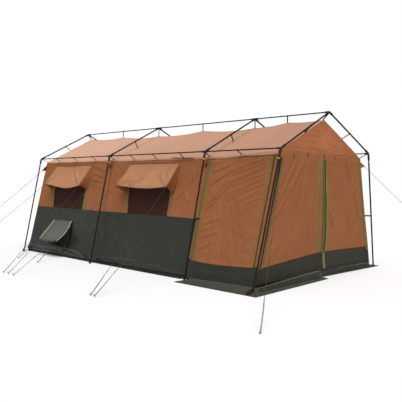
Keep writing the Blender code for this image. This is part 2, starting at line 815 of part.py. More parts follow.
def make_porch_shell():
    """Front gable, corner strips, side sills and bottom band of the porch, sewn as one."""
    back = DIVIDER_X + SEAM_GAP
    length = BAY_PORCH
    middle = back + length / 2
    shell = flat_outline("porch_shell", gable_outline(SHELL_BOTTOM), length, cross_plane(middle), ORANGE_WALL)
    inner = gable_outline(SHELL_BOTTOM - OVERCUT, CLOTH, OVERCUT)
    room = flat_outline("porch_hollow", inner, length * 3, cross_plane(back), ORANGE_WALL, "tool")
    reach = Vector((1.0, 4 * BODY_BASE_HALF, 3 * BODY_RIDGE_HEIGHT))
    outside = front_plane(0.0) @ Matrix.Translation((0.0, 0.0, reach.x / 2))
    keep = front_plane(CLOTH) @ Matrix.Translation((0.0, 0.0, reach.x / 2))
    size = (reach.y, reach.z, reach.x)
    cut(room, block("porch_hollow_trim", size, keep, ORANGE_WALL, "tool"))
    cut(shell, room)
    cut(shell, block("shell_front_trim", size, outside, ORANGE_WALL, "tool"))
    _, low, high, _ = door_outline(ZIP_GAP, FAR)
    whole = [(-low[0], low[1]), low, high, (-high[0], high[1])]
    cut(shell, front_slab("porch_doorway", whole, ORANGE_WALL, "tool", CLOTH * 6))
    for side in (NEAR, FAR):
        panel = porch_panel_outline(0.0)
        cut(shell, wall_slab(f"porch_side_opening_{side}", side, panel, ORANGE_WALL, "tool", CLOTH * 6))
    return shell


def door_outline(gap, side):
    """Corners of one front door leaf as (y, height): inner bottom, outer bottom, outer top, inner top."""
    bottom = DOOR_BOTTOM - gap
    top = DOOR_TOP + (SEAM_GAP if gap else 0.0)
    outer_bottom = wall_half(bottom) - DOOR_CORNER_STRIP + gap
    outer_top = wall_half(top) - DOOR_CORNER_STRIP + gap
    return [
        (side * ZIP_GAP / 2, bottom),
        (side * outer_bottom, bottom),
        (side * outer_top, top),
        (side * ZIP_GAP / 2, top),
    ]


def porch_panel_outline(inset):
    """Corners of a porch side panel as (x, height)."""
    back = DIVIDER_X + PORCH_PANEL_BACK + inset
    low = SILL_TOP + inset
    high = PANEL_TOP - (SEAM_GAP if inset else 0.0)
    return [
        (back, low),
        (front_x(low) - CORNER_STRIP - inset, low),
        (front_x(high) - CORNER_STRIP - inset, high),
        (back, high),
    ]


def make_front_door(side):
    """One leaf of the front wall. It zips down the middle and the corner, and hangs from its top edge."""
    corners = door_outline(0.0, side)

    def surface(u, v):
        share = u if side == FAR else 1 - u
        low = corners[0][1]
        high = corners[2][1]
        height = low + (high - low) * v
        edge = abs(corners[1][0]) + (abs(corners[2][0]) - abs(corners[1][0])) * v
        y = side * (ZIP_GAP / 2 + (edge - ZIP_GAP / 2) * share)
        fold = FOLD_DEPTH * window_weight(u, v) * (0.6 + 0.4 * math.cos(6 * math.pi * u))
        climb = height / math.cos(FRONT_LEAN)
        return front_plane(0.0) @ Vector((y, climb, fold))

    return cloth(f"front_door_{SIDE_NAMES[side]}", surface, 9, 8, ORANGE_WALL)


def make_porch_panel(side):
    """The roll-up side panel of the porch."""
    corners = porch_panel_outline(ZIP_GAP)
    low = corners[0][1]
    high = corners[2][1]

    def surface(u, v):
        along = u if side == NEAR else 1 - u
        height = low + (high - low) * v
        back = corners[0][0]
        front = corners[1][0] + (corners[2][0] - corners[1][0]) * v
        x = back + (front - back) * along
        diagonal = math.cos(2 * math.pi * (2.2 * along + 1.6 * v))
        fold = FOLD_DEPTH * window_weight(u, v) * (0.5 + 0.5 * diagonal)
        return wall_point(side, x, height, fold)

    return cloth(f"porch_panel_{SIDE_NAMES[side]}", surface, 9, 9, ORANGE_WALL)


def make_slider(name, edge, zip_up, out, inward):
    """A zip slider on a cloth edge: edge is on the outer face, inward points over the cloth."""
    zip_up = zip_up.normalized()
    turn = Matrix((inward, zip_up, out)).transposed().to_4x4()
    frame = Matrix.Translation(edge) @ turn
    keel = ZIP_GAP / 2 - SEAM_GAP
    gap = CLOTH + 2 * SEAM_GAP
    whole = (SLIDER_WIDTH + keel, SLIDER_LENGTH, gap + 2 * SLIDER_PLATE)
    at = Matrix.Translation(((SLIDER_WIDTH - keel) / 2, 0.0, -CLOTH / 2))
    slider = block(name, whole, frame @ at, STEEL)
    groove = (SLIDER_WIDTH + 0.004, SLIDER_LENGTH * 1.5, gap)
    at = Matrix.Translation((SLIDER_WIDTH / 2 + 0.002 - SEAM_GAP, 0.0, -CLOTH / 2))
    cut(slider, block(name + "_groove", groove, frame @ at, STEEL, "tool"))
    face = SEAM_GAP + SLIDER_PLATE
    loop = (0.003, SLIDER_LENGTH * 0.5, 0.004)
    at = Matrix.Translation((SLIDER_WIDTH * 0.35, 0.0, face + 0.001))
    add(slider, block(name + "_loop", loop, frame @ at, STEEL, "tool"))
    pull = (0.008, PULL_LENGTH, PULL_THICKNESS)
    at = Matrix.Translation((SLIDER_WIDTH * 0.35, -PULL_LENGTH / 2, face + 0.002))
    add(slider, block(name + "_pull", pull, frame @ at, STEEL, "tool"))
    hole = (0.004, 0.008, PULL_THICKNESS * 4)
    at = Matrix.Translation((SLIDER_WIDTH * 0.35, -PULL_LENGTH * 0.78, face + 0.002))
    cut(slider, block(name + "_pull_hole", hole, frame @ at, STEEL, "tool"))
    return slider


def make_sliders():
    plane = front_plane(0.0)
    climb = plane.to_3x3() @ Vector((0.0, 1.0, 0.0))
    out = plane.to_3x3() @ Vector((0.0, 0.0, 1.0))
    edge = plane @ Vector((ZIP_GAP / 2, (DOOR_BOTTOM + SLIDER_HEIGHT) / math.cos(FRONT_LEAN), 0.0))
    make_slider("front_zip_slider", edge, climb, out, Vector((0.0, 1.0, 0.0)))
    low, _, _, high = porch_panel_outline(ZIP_GAP)
    start = wall_point(NEAR, low[0], low[1])
    end = wall_point(NEAR, high[0], high[1])
    climb = (end - start).normalized()
    out = wall_normal(NEAR)
    make_slider("near_zip_slider", start + climb * SLIDER_HEIGHT, climb, out, climb.cross(out))


def cover_frame(side, top, open_deg):
    """A cover's hinge line on its wall, the way down along it, and the way out of its face."""
    lean = WALL_LEAN + math.radians(open_deg)
    down = Vector((0.0, side * math.sin(lean), -math.cos(lean)))
    out = Vector((0.0, side * math.cos(lean), math.sin(lean)))
    return wall_point(side, 0.0, top, CLOTH + SEAM_GAP), down, out


def hinged_sheet(name, side, centre, width, top, length, open_deg, belly, hem, finish, columns, rows):
    """A cover that hangs from its top edge on a side wall and stands open by an angle."""
    start, down, out = cover_frame(side, top, open_deg)

    def surface(u, v):
        along = u if side == NEAR else 1 - u
        x = centre + width * (along - 0.5)
        arch = math.sin(math.pi * along)
        reach = length * (1 - v) + hem * arch * (1 - v) ** 2
        dip = belly * arch * math.sin(math.pi * v)
        return start + Vector((x, 0.0, 0.0)) + down * reach - out * dip

    return cloth(name, surface, columns, rows, finish)


def make_covers():
    for bay, bay_name in ((0, "back"), (1, "middle")):
        centre = awning_centre(bay)
        for side, angle in ((NEAR, AWNING_OPEN_DEG), (FAR, 0.0)):
            belly = AWNING_SAG if angle else 0.0
            hem = HEM_SAG if angle else 0.0
            name = f"window_awning_{SIDE_NAMES[side]}_{bay_name}"
            hinged_sheet(
                name, side, centre, AWNING_WIDTH, AWNING_TOP, AWNING_LENGTH, angle, belly, hem, ORANGE_ROOF, 8, 4
            )
    hinged_sheet(
        "vent_flap", NEAR, VENT_CENTRE, VENT_WIDTH, VENT_TOP, VENT_LENGTH, VENT_OPEN_DEG, 0.004, 0.0, GREY_GREEN, 4, 4
    )


def flap_corners():
    """Inner and outer corners of the ground flap in plan, from the near back end round to the far back end."""
    inner_front = front_x(SHELL_BOTTOM)
    inner_half = wall_half(SHELL_BOTTOM)
    back = DIVIDER_X + SEAM_GAP
    inner = [(back, -inner_half), (inner_front, -inner_half), (inner_front, inner_half), (back, inner_half)]
    outer = [
        (back, -FLAP_NEAR_HALF),
        (ARCH_X[3] + FLAP_FRONT_NEAR, -FLAP_NEAR_HALF),
        (ARCH_X[3] + FLAP_FRONT_FAR, FLAP_FAR_HALF),
        (back, FLAP_FAR_HALF),
    ]
    return inner, outer


def make_ground_flap():
    """The mud flap: it leaves the foot of the porch walls and lies out over the ground."""
    inner, outer = flap_corners()
    sides = 3
    steps = 8
    top = SHELL_BOTTOM - SEAM_GAP

    def surface(u, v):
        place_along = min(u * sides, sides - 1e-9)
        leg = int(place_along)
        share = place_along - leg
        start = Vector(inner[leg]).lerp(Vector(outer[leg]), v)
        end = Vector(inner[leg + 1]).lerp(Vector(outer[leg + 1]), v)
        plan = start.lerp(end, share)
        fall = max(0.0, 1 - v / FLAP_APRON)
        ripple = abs(math.sin(math.pi * steps / 2 * share)) * math.sin(math.pi * v)
        height = CLOTH + (top - CLOTH) * fall ** 1.5 + FLAP_WAVE * ripple
        return Vector((plan.x, plan.y, height))

    flap = cloth("ground_flap", surface, sides * steps, 5, GREY_GREEN)
    for arch in (2, 3):
        for side in (NEAR, FAR):
            foot = foot_point(arch, side)
            name = f"flap_notch_{SIDE_NAMES[side]}_{arch}"
            radius = FOOT_CAP_DIAMETER / 2 + NOTCH_CLEARANCE
            low = foot - Vector((0.0, 0.0, FOOT_CAP_HEIGHT))
            high = foot + Vector((0.0, 0.0, FOOT_CAP_HEIGHT * 3))
            cut(flap, rod(name, low, high, radius, GREY_GREEN, "tool"))
    return flap


def peg_point(name):
    return Vector((*PEGS[name], LINE_END_HEIGHT))


def tab_line_start(name, arch, side):
    along, out, drop = TAB_LINES[name]
    return Vector((ARCH_X[arch] + along, side * (BODY_EAVE_HALF + out), BODY_EAVE_HEIGHT - drop))


def clear_of(point, pull, face):
    """Start of a line that pulls that way, just off a point of the face with that normal."""
    facing = pull.dot(face)
    rim = GUY_DIAMETER / 2 * math.sqrt(max(0.0, 1 - facing * facing))
    return point + pull * (SEAM_GAP + rim) / facing


def add_tabs():
    """Sews the guy-out tabs to the walls. The far side repeats the near one where it has no line."""
    for arch in range(4):
        for side in (NEAR, FAR):
            name = f"guy_line_{SIDE_NAMES[side]}_{arch + 1}"
            mirrored = name not in PEGS
            line = f"guy_line_near_{arch + 1}" if mirrored else name
            start = tab_line_start(line, arch, NEAR if mirrored else side)
            pull = (peg_point(line) - start).normalized()
            tip = start - pull * 2 * SEAM_GAP
            if mirrored:
                tip.y = -tip.y
                pull.y = -pull.y
            carrier = "porch_shell" if arch == 3 else f"cabin_wall_{SIDE_NAMES[side]}"
            tab = guy_tab(f"tab_{SIDE_NAMES[side]}_{arch + 1}", side, tab_x(arch), tip, pull)
            add(bpy.data.objects[carrier], tab)


def tab_x(arch):
    """Where along the wall a tab is sewn."""
    if arch == 0:
        return BACK_WALL_X + CLOTH * 3
    if arch == 3:
        return front_x(TAB_BOTTOM) - CLOTH * 2
    return ARCH_X[arch] - 0.04


# Guy lines

def cover_lines():
    """Where the lines on the bottom corners of the open covers start."""
    covers = {
        "awning_back": (awning_centre(0), AWNING_WIDTH, AWNING_TOP, AWNING_LENGTH, AWNING_OPEN_DEG),
        "awning_middle": (awning_centre(1), AWNING_WIDTH, AWNING_TOP, AWNING_LENGTH, AWNING_OPEN_DEG),
        "vent": (VENT_CENTRE, VENT_WIDTH, VENT_TOP, VENT_LENGTH, VENT_OPEN_DEG),
    }
    starts = {}
    for cover, (centre, width, top, length, open_deg) in covers.items():
        hinge, down, out = cover_frame(NEAR, top, open_deg)
        for end, end_name in ((-1, "left"), (1, "right")):
            name = f"guy_line_{cover}_{end_name}"
            x = centre + end * (width / 2 - LINE_INSET)
            corner = hinge + Vector((x, 0.0, 0.0)) + down * length - out * CLOTH / 2
            pull = (peg_point(name) - corner).normalized()
            starts[name] = clear_of(corner, pull, down)
    return starts


def line_points(start, end):
    """The points of a taut line, with the little droop of its own weight."""
    droop = GUY_SLACK * (end - start).length
    points = []
    for step in range(GUY_POINTS):
        share = step / (GUY_POINTS - 1)
        points.append(start.lerp(end, share) - Vector((0.0, 0.0, droop * 4 * share * (1 - share))))
    return points


def make_guy_line(name, start):
    """A taut line that ends on the exposed head of its peg."""
    end = peg_point(name)
    line = bent_rod(name, line_points(start, end), GUY_DIAMETER / 2, CORD)
    outward = Vector((end.x - start.x, end.y - start.y, 0.0)).normalized()
    peg_foot = Vector((end.x, end.y, 0.0))
    peg_top = peg_foot + Vector((0.0, 0.0, PEG_HEIGHT))
    radius = PEG_DIAMETER / 2
    add(line, rod(name + "_peg", peg_foot, peg_top, radius, MOULDING, "tool", 8))
    hook_start = peg_top - Vector((0.0, 0.0, radius))
    add(line, rod(name + "_hook", hook_start, hook_start + outward * PEG_HOOK, radius * 0.9, MOULDING, "tool", 8))
    return line


def make_tent():
    make_frame()
    make_floor()
    for side in (NEAR, FAR):
        make_cabin_wall(side)
        make_front_door(side)
        make_porch_panel(side)
    make_back_wall()
    make_divider()
    make_roof()
    make_porch_shell()
    make_ground_flap()
    make_covers()
    make_sliders()
    add_tabs()
    for name, start in cover_lines().items():
        make_guy_line(name, start)
    for arch in range(4):
        for side in (NEAR, FAR):
            name = f"guy_line_{SIDE_NAMES[side]}_{arch + 1}"
            if name in PEGS:
                make_guy_line(name, tab_line_start(name, arch, side))


make_tent()
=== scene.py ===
"""Looks of the frame tent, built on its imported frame.

Metres, +Z up. X runs along the tent with the porch at +X, and the near long side is at -Y.
"""

import math

import bpy
import numpy as np
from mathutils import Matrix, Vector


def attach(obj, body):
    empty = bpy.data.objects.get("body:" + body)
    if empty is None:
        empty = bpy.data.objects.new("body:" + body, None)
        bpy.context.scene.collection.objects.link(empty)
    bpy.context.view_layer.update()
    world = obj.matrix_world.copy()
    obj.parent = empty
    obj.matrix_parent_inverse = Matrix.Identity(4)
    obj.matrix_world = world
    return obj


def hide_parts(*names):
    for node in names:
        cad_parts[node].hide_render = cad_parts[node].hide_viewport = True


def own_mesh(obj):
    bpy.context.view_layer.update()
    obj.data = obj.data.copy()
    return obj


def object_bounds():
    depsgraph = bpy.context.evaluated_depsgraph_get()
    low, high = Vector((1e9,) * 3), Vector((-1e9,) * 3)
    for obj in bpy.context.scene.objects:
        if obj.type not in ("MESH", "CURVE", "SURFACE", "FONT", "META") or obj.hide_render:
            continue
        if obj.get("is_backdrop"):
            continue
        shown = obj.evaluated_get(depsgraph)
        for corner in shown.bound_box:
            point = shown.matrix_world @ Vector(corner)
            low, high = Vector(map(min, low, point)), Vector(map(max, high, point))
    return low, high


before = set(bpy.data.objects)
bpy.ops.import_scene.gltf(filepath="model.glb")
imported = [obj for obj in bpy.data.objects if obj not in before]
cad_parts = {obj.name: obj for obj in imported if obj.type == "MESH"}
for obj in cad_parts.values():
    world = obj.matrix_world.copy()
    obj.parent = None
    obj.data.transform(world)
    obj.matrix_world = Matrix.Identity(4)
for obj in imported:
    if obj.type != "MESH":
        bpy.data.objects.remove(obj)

CAD_BOX = [list(corner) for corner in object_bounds()]

NEAR = -1
FAR = 1
SIDES = {NEAR: "near", FAR: "far"}
BAYS = ("back", "middle", "porch")

# The frame's lines, as in the part
ARCH_X = (-3.115, -0.705, 1.705, 3.115)
EAVE_HALF = 1.18
EAVE_HEIGHT = 1.90
RIDGE_HEIGHT = 2.475
FOOT_HALF = 1.615
FOOT_LEAN = (0.03, 0.0, 0.0, -0.12)
LEG_R = 0.0125
RAIL_R = 0.0095
SOCKET_WALL = 0.0045
ELBOW_ARM = 0.10
HUB_ARM = 0.075
RAIL_ARM = 0.065
PLUG = 0.045
STRAP = 0.020

# The cloth body's faces, as in the part
EAVE_Y = 1.076
EAVE_Z = 1.815
PEAK_Z = 2.371
BASE_Y = 1.516
BACK_X = -3.10
SEAT = 0.0052
WALL_LEAN = math.atan2(BASE_Y - EAVE_Y, EAVE_Z)
PITCH = math.atan2(PEAK_Z - EAVE_Z, EAVE_Y)
FRONT_LEAN = math.atan2(0.075, EAVE_Z)
TUB_TOP = 0.075
DADO = 0.905
WINDOW_TOP = 1.70
WINDOW_HALF = 0.535
WINDOW_X = (-1.96, 0.45)
AWNING_X = (-2.005, 0.435)
AWNING_WIDTH = 1.26
AWNING_TOP = 1.735
AWNING_LENGTH = 0.472
AWNING_OPEN = math.radians(24.7)
VENT_X = -2.008
VENT_WIDTH = 0.636
VENT_TOP = 0.675
VENT_LENGTH = 0.482
VENT_OPEN = math.radians(30.0)
DOOR_LOW = 0.112
DOOR_HIGH = 1.79
DOOR_STRIP = 0.060
PANEL_BACK = 1.743
PANEL_STRIP = 0.093
PANEL_LOW = 0.298
PANEL_HIGH = 1.7747
SILL = 0.295
SHELL_LOW = 0.060
BAND_HIGH = 0.29
WALL_LOW = 0.0755
CABIN_FRONT = 1.7047
FLOOR_FRONT = 1.7037
INNER_WALL_X = 1.7035
PORCH_BACK = 1.7055
VENT_HOLE_HALF = 0.268
VENT_HOLE_LOW = 0.2542
VENT_HOLE_HIGH = 0.6250
BACK_DADO = 0.924
CANVAS_THICKNESS = 0.0012


def array(*values):
    return np.array(values, float)


def unit(vectors):
    vectors = np.asarray(vectors, float)
    return vectors / np.maximum(np.linalg.norm(vectors, axis=-1, keepdims=True), 1e-12)


def smoothstep(share):
    share = np.clip(share, 0.0, 1.0)
    return share * share * (3 - 2 * share)


def new_object(name, data):
    made = bpy.data.objects.new(name, data)
    bpy.context.scene.collection.objects.link(made)
    return made


# Camera, at the photograph's viewing angle

def make_camera():
    data = bpy.data.cameras.new("camera")
    data.lens = 50.684
    data.sensor_width = 36.0
    camera = new_object("camera", data)
    camera.location = (7.679, -7.296, 1.495)
    camera.rotation_euler = (math.radians(90 - 2.282), 0.0, math.radians(44.737))
    bpy.context.scene.camera = camera


make_camera()


# Finishes

def colour(red, green, blue):
    """A screen colour from 0 to 255 as the shader's linear colour."""
    linear = []
    for level in (red, green, blue):
        level /= 255
        linear.append(level / 12.92 if level <= 0.04045 else ((level + 0.055) / 1.055) ** 2.4)
    return (*linear, 1.0)


WHITE = (1.0, 1.0, 1.0, 1.0)
DUST_COLOUR = (150, 138, 118)


def feed(tree, node, inputs):
    """Links the inputs that come from other nodes, and sets the rest to their plain values."""
    for name, value in inputs.items():
        if isinstance(value, bpy.types.NodeSocket):
            tree.links.new(value, node.inputs[name])
        else:
            node.inputs[name].default_value = value


class Graph:
    """A short way to write shader nodes."""

    def __init__(self, tree):
        self.tree = tree

    def add(self, kind, inputs=None, **settings):
        node = self.tree.nodes.new(kind)
        for name, value in settings.items():
            setattr(node, name, value)
        feed(self.tree, node, inputs or {})
        return node

    def maths(self, operation, *values):
        return self.add("ShaderNodeMath", dict(enumerate(values)), operation=operation).outputs[0]

    def times(self, first, second):
        return self.maths("MULTIPLY", first, second)

    def plus(self, first, second):
        return self.maths("ADD", first, second)

    def vectors(self, operation, first, second):
        return self.add("ShaderNodeVectorMath", {0: first, 1: second}, operation=operation).outputs

    def mix(self, share, first, second, blend="MIX"):
        inputs = {0: share, 6: first, 7: second}
        return self.add("ShaderNodeMix", inputs, data_type="RGBA", blend_type=blend).outputs[2]

    def ramp(self, value, low, high):
        inputs = {"Value": value, "From Min": low, "From Max": high}
        return self.add("ShaderNodeMapRange", inputs, interpolation_type="SMOOTHSTEP").outputs[0]

    def noise(self, place, scale, detail, rough=0.5):
        inputs = {"Vector": place, "Scale": scale, "Detail": detail, "Roughness": rough}
        return self.add("ShaderNodeTexNoise", inputs).outputs

    def split(self, vector):
        return self.add("ShaderNodeSeparateXYZ", {0: vector}).outputs[:]

    def here(self):
        """The place on the tent."""
        return self.add("ShaderNodeTexCoord").outputs["Object"]

    def on_cloth(self):
        """The place on the cloth, in metres."""
        return self.add("ShaderNodeUVMap", uv_map="cloth").outputs[0]

    def bump(self, strength, distance, height, **under):
        inputs = {"Strength": strength, "Distance": distance, "Height": height, **under}
        return self.add("ShaderNodeBump", inputs).outputs[0]

    def use(self, tree, **inputs):
        """Places a shared effect."""
        return self.add("ShaderNodeGroup", inputs, node_tree=tree).outputs

    def shade(self, base, rough, shine=0.5, sheen=0.0, **more):
        inputs = {"Base Color": base, "Roughness": rough, "Specular IOR Level": shine, "Sheen Weight": sheen, **more}
        feed(self.tree, self.tree.nodes["Principled BSDF"], inputs)


def effect(name, build, outputs, **inputs):
    """A shader node group. inputs gives its plain values, and build makes the sockets that outputs names."""
    tree = bpy.data.node_groups.new(name, "ShaderNodeTree")
    for label, value in inputs.items():
        kind = {4: "Color", 3: "Vector"}[len(value)] if isinstance(value, tuple) else "Float"
        socket = tree.interface.new_socket(name=label, in_out="INPUT", socket_type=f"NodeSocket{kind}")
        socket.default_value = value
    for label in outputs:
        kind = "Color" if label == "Colour" else "Float"
        tree.interface.new_socket(name=label, in_out="OUTPUT", socket_type=f"NodeSocket{kind}")
    graph = Graph(tree)
    given = graph.add("NodeGroupInput").outputs
    made = build(graph, *[given[label] for label in inputs])
    feed(tree, graph.add("NodeGroupOutput"), dict(zip(outputs, made)))
    return tree


def build_weave(graph, place, base, threads):
    """Threads over and under each other, on coordinates in metres."""
    scaled = graph.add("ShaderNodeVectorMath", {0: place, "Scale": threads}, operation="SCALE").outputs[0]
    across, along = graph.split(scaled)[:2]
    warp = graph.maths("ABSOLUTE", graph.maths("SINE", graph.times(across, math.pi)))
    weft = graph.maths("ABSOLUTE", graph.maths("SINE", graph.times(along, math.pi)))
    over = graph.add("ShaderNodeTexChecker", {"Vector": scaled, "Scale": 1.0}).outputs[1]
    height = graph.plus(graph.times(warp, over), graph.times(weft, graph.maths("SUBTRACT", 1.0, over)))
    slub = graph.noise(scaled, 0.11, 2.0)[0]
    tone = graph.plus(graph.plus(graph.times(height, 0.10), graph.times(slub, 0.16)), 0.86)
    tint = graph.add("ShaderNodeCombineColor", {0: tone, 1: tone, 2: tone}).outputs[0]
    return graph.mix(1.0, base, tint, "MULTIPLY"), height


def build_fading(graph, base, faded, patches, amount):
    """Uneven fading and staining in slow patches."""
    patch = graph.ramp(graph.noise(graph.here(), patches, 5.0, 0.6)[0], 0.34, 0.68)
    return graph.mix(graph.times(patch, amount), base, faded), patch


def build_creases(graph, place, stretch, scale):
    """Small sharp creases left by packing, on coordinates in metres."""
    place = graph.vectors("MULTIPLY", place, stretch)[0]
    offset = graph.vectors("ADD", place, graph.noise(place, 2.3, 3.0)[1])[0]
    cells = graph.add("ShaderNodeTexVoronoi", {"Vector": offset, "Scale": scale}, feature="DISTANCE_TO_EDGE")
    ridge = graph.ramp(cells.outputs[0], 0.0, 0.22)
    return [graph.plus(graph.times(ridge, 0.45), graph.noise(offset, scale, 4.0)[0])]


def build_dust(graph, base, dust, reach, amount):
    """Dust and splashes that fade out upward from the ground."""
    place = graph.here()
    low = graph.maths("SUBTRACT", 1.0, graph.ramp(graph.split(place)[2], 0.0, reach))
    speck = graph.ramp(graph.noise(place, 14.0, 6.0, 0.7)[0], 0.42, 0.75)
    mask = graph.times(graph.times(low, speck), amount)
    return graph.mix(mask, base, dust), mask


def build_stitches(graph, place, base, thread, pitch):
    """Two rows of stitches along a tape. place is metres along it, and share of the way across."""
    along, share = graph.split(place)[:2]
    on = graph.maths("LESS_THAN", graph.maths("FRACT", graph.maths("DIVIDE", along, pitch)), 0.68)
    across = graph.maths("ABSOLUTE", graph.maths("SUBTRACT", share, 0.5))
    off_row = graph.maths("ABSOLUTE", graph.maths("SUBTRACT", across, 0.38))
    mask = graph.times(on, graph.maths("LESS_THAN", off_row, 0.022))
    height = graph.plus(graph.times(mask, 0.7), graph.times(graph.ramp(across, 0.5, 0.455), 0.6))
    return graph.mix(mask, base, thread), mask, height


def build_scuffs(graph, base, bare, scale, amount):
    """Rubbed spots and fine scratches on paint and mouldings."""
    place = graph.here()
    spots = graph.noise(place, scale, 8.0, 0.72)[0]
    lines = graph.add("ShaderNodeTexWave", {"Vector": place, "Scale": 6.0, "Distortion": 14.0, "Detail": 4.0})
    line = graph.times(graph.ramp(lines.outputs[1], 0.93, 1.0), 0.35)
    mask = graph.times(graph.plus(graph.ramp(spots, 0.56, 0.72), line), amount)
    return graph.mix(mask, base, bare), mask, spots


def build_painted_light_drift(graph, first, last, direction, start, stop):
    """Painted light and shade: a slow change of colour along one direction of the tent, in place of how the light falls
    along it.
    """
    share = graph.ramp(graph.vectors("DOT_PRODUCT", graph.here(), direction)["Value"], start, stop)
    return graph.mix(share, first, last), share


WEAVE = effect("weave", build_weave, ("Colour", "Height"), Place=(0, 0, 0), Colour=WHITE, Threads=900.0)
FADING = effect("fading", build_fading, ("Colour", "Mask"), Colour=WHITE, Faded=WHITE, Patches=1.0, Amount=0.5)
CREASES = effect("creases", build_creases, ("Height",), Place=(0, 0, 0), Stretch=(1, 1, 1), Scale=5.0)
DUST = effect("ground dust", build_dust, ("Colour", "Mask"), Colour=WHITE, Dust=WHITE, Reach=0.3, Amount=0.5)
STITCHES = effect("stitches", build_stitches, ("Colour", "Mask", "Height"), Place=(0, 0, 0), Colour=WHITE,
                  Thread=WHITE, Pitch=0.005)
SCUFFS = effect("scuffs", build_scuffs, ("Colour", "Mask", "Height"), Colour=WHITE, Bare=WHITE, Scale=30.0,
                Amount=0.5)
PAINTED_LIGHT_DRIFT = effect("painted light along the tent", build_painted_light_drift, ("Colour", "Mask"), First=WHITE, Last=WHITE,
               Direction=(1, 0, 0), From=-2.8, To=2.4)


def new_material(name):
    material = bpy.data.materials.new(name)
    material.use_nodes = True
    return material, Graph(material.node_tree)


def cloth_finish(name, base, faded, threads=900.0, rough=0.85, sheen=0.0, crease=0.004, crease_scale=5.0,
                 stretch=(1, 1, 1), fade=0.6, patches=0.9, dust=0.0, reach=0.3, shine=0.15, painted_light_drift=None):
    """A woven cloth: its weave, packing creases, uneven fading, and dust low down.

    The last argument paints light and shade: the cloth's two colours at its other end, as the light shows them there,
    the way there, and where along that way the change starts and stops.
    """
    material, graph = new_material(name)
    base, faded = colour(*base), colour(*faded)
    if painted_light_drift:
        other, other_faded, way, start, stop = painted_light_drift
        ends = {"Direction": way, "From": start, "To": stop}
        base = graph.use(PAINTED_LIGHT_DRIFT, First=base, Last=colour(*other), **ends)["Colour"]
        faded = graph.use(PAINTED_LIGHT_DRIFT, First=faded, Last=colour(*other_faded), **ends)["Colour"]
    place = graph.on_cloth()
    fading = graph.use(FADING, Colour=base, Faded=faded, Patches=patches, Amount=fade)
    weave = graph.use(WEAVE, Place=place, Colour=fading["Colour"], Threads=threads)
    finish = weave["Colour"]
    if dust:
        finish = graph.use(DUST, Colour=finish, Dust=colour(*DUST_COLOUR), Reach=reach, Amount=dust)["Colour"]
    creases = graph.use(CREASES, Place=place, Stretch=stretch, Scale=crease_scale)
    fine = graph.bump(0.25, 0.0003, weave["Height"])
    graph.shade(finish, rough, shine, sheen, Normal=graph.bump(1.0, crease, creases["Height"], Normal=fine))
    return material


def tape_finish(name, base, thread, rough=0.85, pitch=0.005, rib=900.0):
    """A woven tape or webbing with a row of stitches along each edge."""
    material, graph = new_material(name)
    base = colour(*base)
    place = graph.on_cloth()
    lighter = tuple(min(1.0, level * 1.5 + 0.01) for level in base[:3]) + (1.0,)
    fading = graph.use(FADING, Colour=base, Faded=lighter, Patches=3.0, Amount=0.5)
    stitches = graph.use(STITCHES, Place=place, Colour=fading["Colour"], Thread=colour(*thread), Pitch=pitch)
    ribs = graph.maths("SINE", graph.times(graph.split(place)[0], rib * 2))
    height = graph.plus(stitches["Height"], graph.times(ribs, 0.25))
    graph.shade(stitches["Colour"], rough, 0.15, Normal=graph.bump(0.5, 0.0006, height))
    return material


def hard_finish(name, base, bare, rough=0.4, metallic=0.0, scale=30.0, wear=0.4, shine=0.5):
    """Painted metal or moulded plastic, rubbed in spots."""
    material, graph = new_material(name)
    scuffs = graph.use(SCUFFS, Colour=colour(*base), Bare=colour(*bare), Scale=scale, Amount=wear)
    levels = {"Value": scuffs["Height"], "To Min": rough - 0.1, "To Max": rough + 0.15}
    level = graph.add("ShaderNodeMapRange", levels).outputs[0]
    graph.shade(scuffs["Colour"], level, shine, Metallic=metallic, Normal=graph.bump(0.3, 0.0002, scuffs["Height"]))
    return material


def mesh_finish(name, base, thread):
    """Insect mesh: fine square holes, painted dark as the shade of the tent's unlit inside behind them."""
    material, graph = new_material(name)
    thread = colour(*thread)
    weave = graph.use(WEAVE, Place=graph.on_cloth(), Colour=colour(*base), Threads=640.0)
    shown = graph.mix(graph.ramp(weave["Height"], 0.55, 0.95), weave["Colour"], thread)
    fading = graph.use(FADING, Colour=shown, Faded=thread, Patches=1.6, Amount=0.35)
    graph.shade(fading["Colour"], 0.7, 0.2, Normal=graph.bump(0.4, 0.0005, weave["Height"]))
    return material


def rope_finish(name, base, dark):
    """Twisted cord: strands that wind round it."""
    material, graph = new_material(name)
    dark = colour(*dark)
    wave = {"Vector": graph.here(), "Scale": 90.0, "Distortion": 0.6}
    twist = graph.add("ShaderNodeTexWave", wave, bands_direction="DIAGONAL").outputs[1]
    fading = graph.use(FADING, Colour=colour(*base), Faded=dark, Patches=4.0, Amount=0.4)
    shown = graph.mix(graph.times(twist, 0.3), fading["Colour"], dark)
    graph.shade(shown, 0.8, Normal=graph.bump(0.5, 0.0005, twist))
    return material


WALL = cloth_finish("orange_wall_canvas", (140, 86, 51), (150, 96, 61), crease=0.012, crease_scale=3.2,
                    stretch=(1.0, 0.55, 1.0))
# Painted light: the gable's colour grows lighter toward its top, where the cloth leans back and catches more light.
GABLE = cloth_finish("orange_gable_canvas", (142, 88, 53), (152, 98, 63), crease=0.010, crease_scale=3.2,
                     painted_light_drift=((166, 101, 63), (176, 111, 73), (0, 0, 1), 1.76, 2.06))
